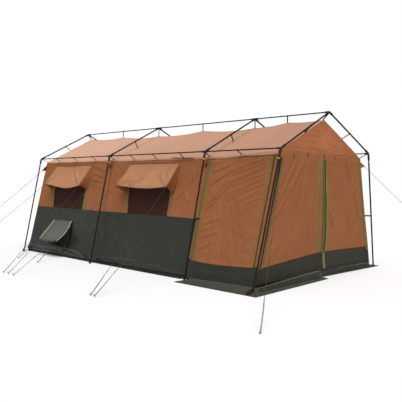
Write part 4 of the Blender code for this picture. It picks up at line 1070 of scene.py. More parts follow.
def strap(piece, centre, axis, radius, end, lay, finish=2, width=STRAP):
    """A webbing loop round a pole, and its tail, which turns and is sewn down along the cloth."""
    axis = unit(axis)
    half = axis * width / 2
    piece.sweep([centre - half, centre - half * 0.96, centre + half * 0.96, centre + half],
                [radius + 0.0018, radius + 0.0025, radius + 0.0025, radius + 0.0018], finish, 14)
    tail(piece, centre, end, lay, finish, width, radius)


def tail(piece, centre, end, lay, finish=2, width=STRAP, radius=LEG_R):
    drop = unit(end - centre)
    start = centre + drop * radius * 0.6
    lift = array(0, 0, 0.0022)
    corner = end + lift
    bend = rounded(corner, start, corner + unit(lay), 0.004, 5)
    path = np.concatenate([[start], [start + (corner - start) * 0.5], bend, [corner + unit(lay) * 0.009]])
    piece.ribbon(path, array(1, 0, 0), width, 0.0026, finish)
    buckle = start + (corner - start) * 0.42
    side = array(1, 0, 0)
    piece.ribbon([buckle - side * (width / 2 + 0.003), buckle + side * (width / 2 + 0.003)], drop, 0.010, 0.006, 1)


def cloth_x(arch):
    return min(max(ARCH_X[arch], BACK_X + 0.10), float(front_x(EAVE_Z)) - STRAP)


def slope_down(side):
    return array(0.0, side * math.cos(PITCH), -math.sin(PITCH))


def wall_down(side):
    return array(0.0, side * math.sin(WALL_LEAN), -math.cos(WALL_LEAN))


def eave_edge(x, side):
    """Where a strap meets the body, just outside the roof's turned hem."""
    rise = float(eave_rise(x)) if side == NEAR else 0.0
    return array(x, side * (EAVE_Y + 0.010 - rise * 0.24), EAVE_Z + 0.006 + rise)


def make_rafter(arch, side):
    corner = eave(arch, side)
    top = ridge(arch)
    up = unit(top - corner)
    down = unit(foot(arch, side) - corner)
    node = f"rafter_{SIDES[side]}_{arch + 1}"
    rafter = Piece(f"pole_{node}", TUBE, JOINT, WEBBING, MAROON)
    tube(rafter, corner + up * 0.055, top - up * (HUB_ARM - PLUG), LEG_R, (0.52,))
    bend = rounded(corner, corner + up, corner + down, 0.042, 9)
    elbow = np.concatenate([[corner + up * ELBOW_ARM], bend, [corner + down * ELBOW_ARM]])
    moulded_arm(rafter, elbow, LEG_R + SOCKET_WALL)
    for way in rail_ways(arch):
        reach = array(way, 0, 0)
        moulded_arm(rafter, [corner, corner + reach * RAIL_ARM], RAIL_R + SOCKET_WALL)
        button(rafter, corner + reach * 0.045, array(0, side, 0), RAIL_R + SOCKET_WALL)
    outward = array(0, side * math.sin(PITCH), math.cos(PITCH))
    button(rafter, corner + up * 0.075, outward, LEG_R + SOCKET_WALL)
    button(rafter, corner + down * 0.075, array(0, side, 0), LEG_R + SOCKET_WALL)
    x = cloth_x(arch)
    tail(rafter, corner, eave_edge(x, side), wall_down(side))
    middle = corner + (top - corner) * (0.60 if arch == 3 and side == NEAR else 0.5)
    y = middle[1] - side * math.sin(PITCH) * 0.12
    finish = 3 if side == FAR and arch == 3 else 2
    if arch == 3 and side == NEAR:
        y = middle[1]
    strap(rafter, middle, up, LEG_R, np.reshape(roof_face(x, y), 3), slope_down(side), finish)
    rafter.make(replaces=[node], slot="frame_tube")


def make_leg(arch, side):
    corner = eave(arch, side)
    base = foot(arch, side)
    down = unit(base - corner)
    node = f"leg_{SIDES[side]}_{arch + 1}"
    leg = Piece(f"pole_{node}", TUBE, JOINT, WEBBING, MAROON, YELLOW)
    tube(leg, corner + down * (ELBOW_ARM - PLUG), base - down * 0.012, LEG_R, (0.5,))
    button(leg, corner + down * 1.03, array(0, side, 0), LEG_R)
    for at, wide, finish in (((0.104, 0.008, 3), (0.134, 0.012, 4)) if arch == 3 else ((0.104, 0.016, 4),)):
        ring = [corner + down * (at + wide * step) for step in (0.0, 0.08, 0.92, 1.0)]
        leg.sweep(ring, [LEG_R + 0.0006, LEG_R + 0.0022, LEG_R + 0.0022, LEG_R + 0.0006], finish)
    if arch < 3:
        flag = corner + down * 0.112
        leg.ribbon([flag, flag + array(0.020, side * 0.008, -0.004), flag + array(0.036, side * 0.012, -0.012)],
                   array(0, 0, 1), [0.014, 0.013, 0.009], 0.0016, 4)
    lift = array(0, 0, 1)
    cap = [base, base + lift * 0.003, base + lift * 0.006, base + lift * 0.022, base + lift * 0.030]
    leg.sweep(cap, [0.022, 0.022, 0.0185, 0.0165, 0.0150], 1, 18)
    if arch < 2:
        start = base + lift * 0.018
        x = max(start[0], BACK_X + STRAP)
        end = wall_face(side, x, 0.018, 0.0)
        reach = array(0, side, 0)
        leg.ribbon([end + reach * 0.0015, end * 0.5 + start * 0.5 + lift * 0.002, start - reach * 0.010],
                   array(1, 0, 0), STRAP, 0.003, 2)
        if side == NEAR:
            bends = ((0.0, -0.014, 0.060), (0.004, -0.020, 0.022), (0.024, -0.036, 0.009), (0.052, -0.044, 0.012))
            leg.sweep(resample([base + array(*bend) for bend in bends], 0.01), 0.0075, 2, 10)
    else:
        height = 0.87 if arch == 3 else 0.89
        centre = corner + (base - corner) * (1 - height / EAVE_HEIGHT)
        x = min(centre[0], float(front_x(height)) - STRAP)
        end = wall_face(side, x, height, 0.0)
        half = down * STRAP / 2
        finish = 3 if arch == 3 else 2
        leg.sweep([centre - half, centre + half], LEG_R + 0.0025, finish, 14)
        reach = array(0, side, 0)
        middle = end * 0.5 + centre * 0.5 - down * 0.004
        leg.ribbon([end + reach * 0.0018, middle, centre - reach * 0.006], down, 0.024, 0.004, finish)
        if side == NEAR and arch == 3:
            # The spare end of the foot's strap, crumpled before it
            for number in range(4):
                turn = 1.3 * number
                around = base + array(0.030 + 0.006 * number, -0.110, 0.016 + 0.005 * number)
                loop = [around + array(0.027 * math.cos(t + turn), 0.024 * math.sin(t + turn),
                                       0.010 * math.sin(2 * t + turn)) for t in np.linspace(0.0, 5.2, 14)]
                leg.ribbon(loop, array(0, 0, 1), 0.018, 0.0024, 3 if number % 2 else 2)
            leg.ribbon([base + array(0, 0, 0.05), base + array(0.02, -0.09, 0.03)], array(0, 0, 1), 0.018, 0.003, 2)
    leg.make(replaces=[node], slot="frame_tube")


def make_hub(arch):
    top = ridge(arch)
    hub = Piece(f"hub_{arch + 1}", TUBE, JOINT, WEBBING)
    arms = [unit(eave(arch, side) - top) for side in (NEAR, FAR)]
    bend = rounded(top, top + arms[0], top + arms[1], 0.025, 7)
    crown = np.concatenate([[top + arms[0] * HUB_ARM], bend, [top + arms[1] * HUB_ARM]])
    moulded_arm(hub, crown, LEG_R + SOCKET_WALL)
    for way in rail_ways(arch):
        reach = array(way, 0, 0)
        moulded_arm(hub, [top, top + reach * RAIL_ARM], RAIL_R + SOCKET_WALL)
        button(hub, top + reach * 0.045, array(0, 0, 1), RAIL_R + SOCKET_WALL)
    for arm in arms:
        button(hub, top + arm * 0.055, unit(array(0, arm[2] * np.sign(arm[1]), abs(arm[1]))), LEG_R + SOCKET_WALL)
    end = array(cloth_x(arch), 0.0, PEAK_Z - float(ridge_drop(cloth_x(arch))))
    start = top - array(0, 0, 0.010)
    hub.ribbon([start, start * 0.5 + end * 0.5, end + array(0, 0, 0.001)], array(1, 0, 0), STRAP, 0.0026, 2)
    hub.ribbon([end + array(-0.014, 0, 0.0020), end + array(0.014, 0, 0.0020)], array(0, 1, 0), 0.030, 0.0026, 2)
    hub.make(replaces=[f"ridge_hub_{arch + 1}"], slot="frame_joint")


def make_long_pole(node, start, end, shares, strap_end, lay):
    pole = Piece(f"pole_{node}", TUBE, JOINT, WEBBING)
    axis = unit(end - start)
    inset = RAIL_ARM - PLUG
    tube(pole, start + axis * inset, end - axis * inset, RAIL_R, (0.47,))
    for share in shares:
        centre = start + (end - start) * share
        strap(pole, centre, axis, RAIL_R, strap_end(centre[0]), lay)
    pole.make(replaces=[node], slot="frame_tube")


def make_frame():
    for arch in range(4):
        make_hub(arch)
        for side in SIDES:
            make_leg(arch, side)
            make_rafter(arch, side)
    for bay, bay_name in enumerate(BAYS):
        make_long_pole(f"ridge_pole_{bay_name}", ridge(bay), ridge(bay + 1), (RIDGE_SHARES[bay],),
                       lambda x: array(x, 0.0, PEAK_Z - float(ridge_drop(x))), slope_down(NEAR))
        for side in SIDES:
            make_long_pole(f"eave_rail_{SIDES[side]}_{bay_name}", eave(bay, side), eave(bay + 1, side),
                           RAIL_SHARES[bay],
                           lambda x, side=side: eave_edge(x, side), wall_down(side))


make_frame()


# Roof

def make_roof():
    xs = spread(BACK_X, ARCH_X[1], ARCH_X[2], 3.0, step=0.035)
    ys = spread(-EAVE_Y, 0.0, EAVE_Y, step=0.032)
    share = (xs - BACK_X) / (3.0 - BACK_X)
    front = (front_x(roof_z(ys)) - gable_back(roof_z(ys)))[:, None]
    back = (BACK_X + back_lean(roof_z(ys)))[:, None]
    x = back + share[None, :] * (front - back)
    y = np.broadcast_to(ys[:, None], x.shape)
    canvas = Piece("roof_canvas", ROOF)
    canvas.cloth(roof_face, x, y, array(0, 0, 1))
    for side in SIDES:
        # The hem that turns down over the top of the wall
        edge_x = x[0]
        edge = roof_face(edge_x, np.full_like(edge_x, side * EAVE_Y))
        rows = [edge, edge + array(0, side * 0.0024, -0.004), edge + array(0, side * 0.0078, -0.022)]
        place = np.stack(np.meshgrid(edge_x, [0.0, 0.004, 0.02]), -1)
        canvas.grid(np.array(rows), place, facing=array(0, side, 0))
    roof = canvas.make(replaces=["roof_cloth"], slot="roof_cloth", thickness=CANVAS_THICKNESS, sharp=50)
    trim = Piece("roof_binding", BINDING, ROOF)
    for side in SIDES:
        edge = side * (EAVE_Y - 0.008)
        trim.tape(roof_face, [(BACK_X + 0.05, edge), (3.02, edge)], 0.014, 0.0012, 1)
        ys = side * np.linspace(0, EAVE_Y, 12)
        trim.tape(roof_face, [(float(front_x(roof_z(y)) - gable_back(roof_z(y))) - 0.008, y) for y in ys], 0.014)
        trim.tape(roof_face, [(BACK_X + float(back_lean(roof_z(y))) + 0.008, y) for y in ys], 0.014)
    trim.tape(roof_face, [(BACK_X + 0.13, 0.0), (3.01, 0.0)], 0.024, 0.0014, 1)
    binding = trim.make(slot="roof_cloth")


make_roof()


# Cabin walls

def dado_line(x):
    stops = [-3.1, -2.485, -1.437, -0.736, -0.063, 0.982, 1.705]
    return np.interp(x, stops, [0.924, 0.919, 0.911, 0.905, 0.901, 0.898, 0.886])


def tab_x(arch):
    if arch == 0:
        return BACK_X + 0.050
    if arch == 3:
        return float(front_x(1.575)) - 0.008
    return ARCH_X[arch] - 0.04


def guy_tab(piece, arch, side, cloth, edging):
    """A three-cornered tab of doubled canvas that a guy line pulls on."""
    name = f"{SIDES[side]}_{arch + 1}"
    mirrored = name not in TAB_STARTS
    line = f"near_{arch + 1}" if mirrored else name
    start = array(*TAB_STARTS[line])
    pull = unit(array(*PEGS[line], LINE_END_HEIGHT) - start)
    tip = start - pull * 0.0006
    if mirrored:
        tip = tip * array(1, -1, 1)
        pull = pull * array(1, -1, 1)
    x = tab_x(arch)
    low = wall_face(side, x, 1.665, 0.0)
    high = wall_face(side, x, 1.770, 0.0)
    across = unit(np.cross(high - low, tip - low))
    down, along = np.linspace(0.0, 1.0, 9), np.linspace(0.0, 1.0, 7)
    rows = []
    for share in down:
        base = high + (low - high) * share
        point = tip + unit(high - low) * (0.5 - share) * 0.010
        rows.append([base + (point - base) * reach for reach in along])
    rows = np.array(rows)
    place = np.stack(np.meshgrid(along, down * 0.2), -1)
    piece.grid(rows + across * 0.0010, place, cloth, facing=across)
    piece.grid(rows - across * 0.0010, place, cloth, facing=-across)
    for edge in (rows[0], rows[-1]):
        piece.ribbon(edge, across, 0.005, 0.003, edging)
    inward = tip - pull * 0.020
    piece.ribbon([inward - pull * 0.05, inward], unit(high - low), 0.018, 0.005, edging)


def awning_points(centre, width, length, opening, top, side, folds=None, skew=0.0, hem=0.0, belly=0.0, tuck=0.0,
                   flare=0.0):
    """The face of a cover that hangs from its top edge: s runs along it from 0 to 1, d down it in metres."""
    hinge, down, out = cover_frame(side, top, opening)

    def surface(s, d, lift=0.0):
        s, d = np.broadcast_arrays(np.asarray(s, float), np.asarray(d, float))
        arch = np.sin(math.pi * np.clip(s ** (1 + skew), 0, 1))
        part = d / length
        reach = d + hem * arch * part ** 2 - tuck * (1 - s) ** 3 * part
        rise = lift - belly * arch * np.sin(math.pi * np.clip(part, 0, 1))
        if folds is not None:
            rise = rise + folds(s, part)
        rise = np.asarray(rise)[..., None]
        along = centre + width * (s - 0.5) - flare * (1 - s) ** 2 * part
        return hinge + array(1, 0, 0) * along[..., None] + down * reach[..., None] + out * rise

    return surface


# Each window's side strips: how far each strip's two edges stand outside the opening at its foot, middle and top
STRIP_EDGES = (
    (((-0.004, -0.004, -0.004), (0.068, 0.094, 0.094)), ((-0.006, -0.004, -0.004), (0.132, 0.061, 0.050))),
    (((-0.004, -0.004, -0.004), (0.069, 0.078, 0.078)), ((-0.014, -0.030, -0.030), (0.037, 0.047, 0.050))),
)


def make_cabin_wall(side):
    wall = LONG_WALLS[side]
    side_name = SIDES[side]
    stops = [BACK_X + 0.0043, WINDOW_X[0] - WINDOW_HALF, WINDOW_X[0] + WINDOW_HALF, ARCH_X[1],
             WINDOW_X[1] - WINDOW_HALF, WINDOW_X[1] + WINDOW_HALF, CABIN_FRONT]
    vent = (VENT_X - VENT_HOLE_HALF, VENT_X + VENT_HOLE_HALF)
    if side == NEAR:
        stops = sorted(stops + list(vent))
    xs = spread(*stops, step=0.022)
    low, high = 0.0795, 1.800
    zs = spread(low, VENT_HOLE_LOW, VENT_HOLE_HIGH, DADO, WINDOW_TOP, high, step=0.020)
    x, z = np.meshgrid(xs, zs)
    foot_z = np.interp(x, [BACK_X, 1.7], [0.040, 0.055]) if side == NEAR else low
    z = np.where(z <= DADO, foot_z + (z - low) * (dado_line(x) - foot_z) / (DADO - low),
                 high - (high - z) * (high - dado_line(x)) / (high - DADO))
    middle_x = (x[:-1, 1:] + x[:-1, :-1]) / 2
    level = np.broadcast_to(((zs[1:] + zs[:-1]) / 2)[:, None], middle_x.shape)
    keep = np.ones(middle_x.shape, bool)
    for centre in WINDOW_X:
        keep &= ~((np.abs(middle_x - centre) < WINDOW_HALF) & (level > DADO) & (level < WINDOW_TOP))
    if side == NEAR:
        keep &= ~((middle_x > vent[0]) & (middle_x < vent[1]) & (level > VENT_HOLE_LOW) & (level < VENT_HOLE_HIGH))
    finish = (level < DADO).astype(int)
    out = array(0, side, 0)
    canvas = cloth_sheet(f"{side_name}_wall_canvas", wall, x, z, (WALL, DADO_CLOTH), out, finish, keep,
                         replaces=[f"cabin_wall_{side_name}"], slot="wall_cloth")
    trim = Piece(f"{side_name}_wall_trim", OLIVE, WALL, HEM, DADO_CLOTH, WEBBING, TIE)
    for centre, widths in zip(WINDOW_X, STRIP_EDGES):
        heights = (float(dado_line(centre)) + 0.004, 1.25, WINDOW_TOP)
        for end, edges in zip((-1, 1), widths):
            lines = [[(centre + end * (WINDOW_HALF + reach), z) for reach, z in zip(edge, heights)] for edge in edges]
            trim.strip(wall, *lines, 0.0018)
        trim.tape(wall, [(centre - WINDOW_HALF, WINDOW_TOP), (centre + WINDOW_HALF, WINDOW_TOP)], 0.03, 0.0018, 2)
    seam_x = ARCH_X[1]
    turn = float(dado_line(seam_x))
    for shade, low, high in ((3, 0.10, turn - 0.01), (1, turn + 0.01, 1.79)):
        trim.tape(wall, [(seam_x, low), (seam_x, high)], 0.022, 0.0010, shade)
    seam = [(value, float(dado_line(value)) - 0.006) for value in np.linspace(BACK_X + 0.02, 1.69, 60)]
    trim.tape(wall, seam, 0.012, 0.0012, 3)
    for arch in range(3):
        guy_tab(trim, arch, side, 5 if arch else 4, 5 if arch else 4)
    if side == NEAR:
        line = zip(np.linspace(0.86, 1.38, 14), np.linspace(1.815, 1.800, 14))
        roll = [near_wall(array(x), array(z), 0.020)[0] for x, z in line]
        trim.sweep(roll, np.interp(np.linspace(0, 1, 14), [0, 0.1, 0.9, 1], [0.003, 0.0075, 0.0075, 0.004]), 4, 12)
    bindings = trim.make(slot="wall_cloth")
    nets = Piece(f"{side_name}_window_nets", NET, HEM)
    for centre in WINDOW_X:
        a, b = np.meshgrid(spread(centre - WINDOW_HALF - 0.05, centre + WINDOW_HALF + 0.05, step=0.05),
                           spread(dado_line(centre) - 0.012, WINDOW_TOP + 0.012, step=0.05))
        reach = np.minimum(WINDOW_HALF - np.abs(a - centre), np.minimum(WINDOW_TOP - b, b - dado_line(a)))
        # The net hangs back from the wall, so that the closed cover lies over it
        back = (near_swell(a, b) + 0.016 if side == NEAR else 0.0 * a) * smoothstep((reach + 0.005) / 0.06)
        nets.cloth(wall, a, b, out, 0, -0.0032 - back)
    if side == NEAR:
        a, b = np.meshgrid(spread(vent[0] - 0.012, vent[1] + 0.012, step=0.05), spread(0.24, 0.64, step=0.05))
        nets.cloth(wall, a, b, out, 0, -0.0032)
    net = nets.make(slot="wall_cloth", thickness=0.0006)


for side in SIDES:
    make_cabin_wall(side)


# Window awnings and the vent's flap

# Each near awning's folds, in hundredths of its width and length
AWNING_FOLDS = (
    (
        (2, 99, 40, -10, 35, 20), (3, 97, 24, 10, 30, 10), (98, 92, 56, 10, 35, 18),
        (94, 95, 84, 10, 35, 10), (34, 72, 42, 15, 45, 7), (80, 70, 50, 72, 60, 6),
    ),
    (
        (28, 95, 60, 28, 45, 26), (2, 99, 34, 60, 40, 18), (2, 95, 12, 20, 40, 14),
        (98, 96, 86, 10, 35, 12), (97, 98, 72, 30, 45, 10), (48, 95, 56, 40, 50, 6),
    ),
)


def near_awning_folds(bay):
    def folds(s, d):
        slack = swell(s, d, 0.8, 0.003, 41 + 2 * bay) * inside(d, 0, 2, 0.3)
        return inside(d, 0.0, 1.35, 0.22) * folds_along(AWNING_FOLDS[bay], s, d) + slack
    return folds


def gusset(name, surface, end, wall_x, wall_z, finish, body="tent", length=AWNING_LENGTH, top=AWNING_TOP,
           bow=0.0, slack=0.10):
    """The side web of an open cover: from its top corner, out to its bottom corner and back to the wall."""
    share = np.linspace(0.0, 1.0, 13)
    edge = surface(np.full(13, end), share * length, -0.0016)
    start = wall_face(NEAR, 0.0, top, 0.0)
    start = array(edge[0][0], start[1], start[2])
    reach = wall_face(NEAR, wall_x, wall_z, 0.0010)
    rows = []
    for step, t in enumerate(share):
        inward = array(-1 if end > 0.5 else 1, 0, 0)
        inner = start + (reach - start) * t - inward * bow * math.sin(math.pi * t)
        line = np.linspace(0.0, 1.0, 9)[:, None]
        give = slack * t * np.sin(math.pi * line) * np.linalg.norm(edge[step] - inner)
        rows.append(inner + (edge[step] - inner) * line + inward * give + array(0, 0, 1) * give * 0.4)
    rows = np.array(rows)
    place = np.stack(np.meshgrid(np.linspace(0, 0.25, 9), share * length), -1)
    web = Piece(name, finish)
    web.grid(rows, place, facing=array(1 if end > 0.5 else -1, 0, 0))
    made = web.make(body, slot="roof_cloth", thickness=0.0010, sharp=60)
    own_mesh(made)
    return made


def make_near_awning(bay):
    bay_name = BAYS[bay]
    skew, hem, tuck, flare = ((0.69, 0.070, 0.020, 0.015), (0.45, 0.040, 0.004, 0.075))[bay]
    surface = awning_points(AWNING_X[bay], AWNING_WIDTH, AWNING_LENGTH, AWNING_OPEN, AWNING_TOP, NEAR,
                            near_awning_folds(bay), skew, hem, 0.010, tuck, flare)
    s, d = np.meshgrid(np.linspace(0, 1, 73), np.linspace(0, AWNING_LENGTH, 31))
    out = array(0, -1, 0.5)
    canvas = Piece(f"near_{bay_name}_awning_canvas", COVER)
    canvas.grid(surface(s, d), np.stack([s * AWNING_WIDTH, d], -1), facing=out)
    body = f"awning_near_{bay_name}"
    awning = canvas.make(body, [f"window_awning_near_{bay_name}"], "roof_cloth", 0.0012, 60)
    trim = Piece(f"near_{bay_name}_awning_hem", HEM, COVER)
    metres = lambda a, b, lift=0.0: surface(a / AWNING_WIDTH, b, lift)
    edge = AWNING_WIDTH
    trim.tape(metres, [(0.0, AWNING_LENGTH - 0.008), (edge, AWNING_LENGTH - 0.008)], 0.016, 0.0012, 1)
    for across in (0.010, edge - 0.010):
        trim.tape(metres, [(across, 0.0), (across, AWNING_LENGTH - 0.01)], 0.018, 0.0012, 1)
    # A darker tape under the awning's hem: painted shade, the dark line along the underside of its edge.
    under = lambda a, b, lift=0.0: surface(a / AWNING_WIDTH, b, -0.0014 - lift)
    trim.tape(under, [(0.0, AWNING_LENGTH - 0.011), (edge, AWNING_LENGTH - 0.011)], 0.022, 0.0010, 0)
    hem = trim.make(body, slot="roof_cloth")
    head = Piece(f"near_{bay_name}_awning_seam", WALL)
    left, right = AWNING_X[bay] - AWNING_WIDTH / 2, AWNING_X[bay] + AWNING_WIDTH / 2
    head.tape(near_wall, [(left, AWNING_TOP + 0.004), (right, AWNING_TOP + 0.004)], 0.018, 0.0016)
    seam = head.make(slot="roof_cloth")
    wall_points = (((left + 0.030, 1.252, 0.0, 0.02), (right - 0.005, 1.285, 0.060, 0.06)),
                   ((left + 0.043, 1.222, 0.0, 0.02), (right - 0.027, 1.247, 0.025, 0.06)))[bay]
    # The webs take the darker canvas, painted shade.
    for number, (wall_x, wall_z, bow, slack) in enumerate(wall_points):
        end = 0.002 if number == 0 else 0.998
        web = gusset(f"near_{bay_name}_awning_web_{number + 1}", surface, end, wall_x, wall_z,
                     PAINTED_SHADE_WEB_CANVAS, bow=bow, slack=slack)


def make_far_awning(bay):
    bay_name = BAYS[bay]

    def folds(s, d):
        """It lies on the wall, a little off it."""
        slack = swell(s, d, 0.5, 0.0022, 50 + bay) * inside(d, 0, 1.02, 0.2)
        across = AWNING_X[bay] + AWNING_WIDTH * (s - 0.5)
        return 0.0045 + np.maximum(slack, 0) + far_swell(across, AWNING_TOP - AWNING_LENGTH * d)

    surface = awning_points(AWNING_X[bay], AWNING_WIDTH, AWNING_LENGTH, 0.0, AWNING_TOP, FAR, folds)
    s, d = np.meshgrid(np.linspace(0, 1, 49), np.linspace(0, AWNING_LENGTH, 21))
    canvas = Piece(f"far_{bay_name}_awning_canvas", COVER)
    canvas.grid(surface(s, d), np.stack([s * AWNING_WIDTH, d], -1), facing=array(0, 1, 0.3))
    body = f"awning_far_{bay_name}"
    awning = canvas.make(body, [f"window_awning_far_{bay_name}"], "roof_cloth", 0.0012, 60)
    trim = Piece(f"far_{bay_name}_awning_hem", HEM, COVER)
    metres = lambda a, b, lift=0.0: surface(a / AWNING_WIDTH, b, lift)
    low = AWNING_LENGTH - 0.010
    trim.tape(metres, [(0.01, low), (AWNING_WIDTH - 0.01, low)], 0.018, 0.0012)
    for across in (0.010, AWNING_WIDTH - 0.010):
        trim.tape(metres, [(across, 0.0), (across, low)], 0.018, 0.0012, 1)
    hem = trim.make(body, slot="roof_cloth")


def make_vent():
    folds = lambda s, d: swell(s, d, 0.9, 0.004, 61) * inside(d, 0, 1.4, 0.3) - vent_sag(s, d)
    surface = awning_points(VENT_X, VENT_WIDTH, VENT_LENGTH, VENT_OPEN, VENT_TOP, NEAR, folds, hem=0.006, belly=0.006)
    s, d = np.meshgrid(np.linspace(0, 1, 33), np.linspace(0, VENT_LENGTH, 25))
    canvas = Piece("vent_flap_canvas", VENT_CLOTH)
    canvas.grid(surface(s, d), np.stack([s * VENT_WIDTH, d], -1), facing=array(0, -1, 0.5))
    flap = canvas.make("vent", ["vent_flap"], "trim_cloth", 0.0012, 60)
    trim = Piece("vent_flap_binding", PALE_BINDING, VENT_CLOTH, DADO_CLOTH)
    metres = lambda a, b, lift=0.0: surface(a / VENT_WIDTH, b, lift)
    for edge in (0.011, VENT_WIDTH - 0.011):
        trim.tape(metres, [(edge, 0.0), (edge, VENT_LENGTH)], 0.022, 0.0014)
    trim.tape(metres, [(0.02, VENT_LENGTH - 0.008), (VENT_WIDTH - 0.02, VENT_LENGTH - 0.008)], 0.016, 0.0012, 1)
    along = np.linspace(0.03, 0.82, 20)
    edge = surface(along, np.full(20, VENT_LENGTH - 0.003), -0.003)
    drop = np.interp(along, [0.03, 0.10, 0.72, 0.82], [0.006, 0.030, 0.038, 0.004])[:, None]
    lip = np.array([edge + array(0, 0.10, -1) * drop * share for share in (0.0, 0.35, 0.7, 1.0)])
    trim.grid(lip, np.stack(np.meshgrid(along, [0.0, 0.01, 0.02, 0.03]), -1), 2, facing=array(0, -1, 0))
    binding = trim.make("vent", slot="trim_cloth")
    # The right web is coloured with the black groundsheet cloth: painted shade, for the deep shade beside the open
    # flap.
    for number, (end, wall_x, wall_z) in enumerate(((0.002, VENT_X - 0.27, 0.20), (0.998, VENT_X + 0.37, 0.15))):
        web = gusset(f"vent_web_{number + 1}", surface, end, wall_x, wall_z,
                     (DADO_CLOTH, FLOOR_CLOTH)[number], length=VENT_LENGTH, top=VENT_TOP)


for bay in (0, 1):
    make_near_awning(bay)
    make_far_awning(bay)
make_vent()


# Back wall, and the inner wall with its door

def cross_wall(x, seed, depth=0.006, lean=None):
    def surface(y, z, out=0.0):
        y, z = np.broadcast_arrays(y, z)
        eased = inside(z, 0.085, 9.0, 0.12) * smoothstep((roof_z(y) - z) / 0.12)
        eased = eased * smoothstep((wall_half(np.minimum(z, EAVE_Z)) - np.abs(y)) / 0.10)
        slack = swell(y, z * 0.5, 0.6, depth * 0.6, seed) + swell(y, z, 0.22, depth * 0.2, seed + 1)
        facing = -1.0 if x < 0 else 1.0
        shift = lean(z) if lean else 0.0
        return stack(x + shift + facing * (out + eased * slack), y, z)
    return surface


def gable_grid(low, stop):
    """A grid of (y, z) over the body's cross section from low up to just under the roof."""
    shares = np.linspace(-1.0, 1.0, 87)
    rows = [np.stack([shares * wall_half(z), np.full_like(shares, z)], -1) for z in spread(low, stop, 1.79, step=0.03)]
    base_y = rows[-1][:, 0]
    for share in np.linspace(0.0, 1.0, 19)[1:]:
        top = roof_z(base_y) - SEAT - 0.001
        rows.append(np.stack([base_y, 1.79 + (top - 1.79) * share], -1))
    rows = np.array(rows)
    return rows[..., 0], rows[..., 1]


def make_back_wall():
    surface = cross_wall(BACK_X + 0.0005, 71, lean=back_lean)
    y, z = gable_grid(WALL_LOW, BACK_DADO)
    level = (z[1:, 1:] + z[:-1, :-1]) / 2
    canvas = cloth_sheet("back_wall_canvas", surface, y, z, (WALL, DADO_CLOTH), array(-1, 0, 0),
                         (level < BACK_DADO).astype(int), replaces=["back_wall"], slot="wall_cloth")
    trim = Piece("back_wall_seams", WALL, DADO_CLOTH, HEM)
    trim.tape(surface, [(-1.28, 0.918), (1.28, 0.918)], 0.014, 0.0012, 1)
    trim.tape(surface, [(-1.04, 1.80), (1.04, 1.80)], 0.018, 0.0012, 0)
    for y_seam in (-0.45, 0.45):
        trim.tape(surface, [(y_seam, 0.93), (y_seam, 2.10)], 0.014, 0.0010, 0)
        trim.tape(surface, [(y_seam, 0.10), (y_seam, 0.91)], 0.014, 0.0010, 1)
    seams = trim.make(slot="wall_cloth")


def make_inner_wall():
    surface = cross_wall(INNER_WALL_X, 81, 0.0)
    piece = Piece("inner_wall_canvas", WALL, HEM)
    for low, high, left, right in ((WALL_LOW, 0.13, -1, 1), (0.13, 1.70, -1, 0), (0.13, 1.70, 0, 1)):
        share, b = np.meshgrid(np.linspace(0.0, 1.0, 13 if left * right else 25), spread(low, high, step=0.06))
        outer = wall_half(b) - 0.0048
        start = np.where(left == -1, -outer, 0.475)
        end = np.where(right == 1, outer, -0.475)
        piece.cloth(surface, start + (end - start) * share, b, array(1, 0, 0))
    y_top = np.linspace(-1.0, 1.0, 41)[None, :] * (wall_half(1.70) - 0.0048)
    share = np.linspace(0.0, 1.0, 14)[:, None]
    under = ridge_drop(INNER_WALL_X) * np.clip(1 - np.abs(y_top) / EAVE_Y, 0, 1)
    top = roof_z(y_top) - SEAT - 0.003 - under
    b = 1.70 + (top - 1.70) * share
    a = np.broadcast_to(y_top, b.shape)
    limit = wall_half(np.minimum(b, EAVE_Z)) - 0.0048
    a = np.clip(a, -limit, limit)
    piece.cloth(surface, a, b, array(1, 0, 0))
    canvas = piece.make(replaces=["divider_wall"], slot="wall_cloth", thickness=CANVAS_THICKNESS, sharp=60)
    trim = Piece("inner_doorway_binding", OLIVE, ZIP_TAPE)
    for edge in (-0.492, 0.492):
        trim.tape(surface, [(edge, 0.12), (edge, 1.71)], 0.030, 0.0012)
    trim.tape(surface, [(-0.50, 1.716), (0.50, 1.716)], 0.030, 0.0012)
    trim.tape(surface, [(-0.50, 0.116), (0.50, 0.116)], 0.026, 0.0012)
    binding = trim.make(slot="wall_cloth")
    y, z = np.meshgrid(spread(-0.4745, 0.472, step=0.04), spread(0.133, 1.697, step=0.05))
    bow = lambda a, b, out=0.0: surface(a, b, out + 0.006 * inside(a, -0.4747, 0.472, 0.2)
                                        * inside(b, 0.133, 1.697, 0.3))
    door = cloth_sheet("inner_door_canvas", bow, y, z, (WALL,), array(1, 0, 0), body="inner_door",
                       replaces=["divider_door"], slot="wall_cloth")
    trim = Piece("inner_door_zip", ZIP_TAPE, ZIP_TEETH)
    trim.tape(bow, [(0.460, 0.14), (0.460, 1.69)], 0.020, 0.0012, 0)
    trim.tape(bow, [(0.469, 0.14), (0.469, 1.69)], 0.005, 0.0024, 1)
    trim.tape(bow, [(-0.46, 1.686), (0.455, 1.686)], 0.018, 0.0012, 0)
    zips = trim.make("inner_door", slot="wall_cloth")


make_back_wall()
make_inner_wall()


# Porch: front wall with its two door leaves, and its side walls with their panels

def band_line(y):
    """Where the front wall turns from orange to dark."""
    return np.interp(y, [-1.45, -0.6, 0.0, 0.7, 1.45], [0.288, 0.352, 0.386, 0.372, 0.350])


def door_edge(z):
    return wall_half(z) - DOOR_STRIP


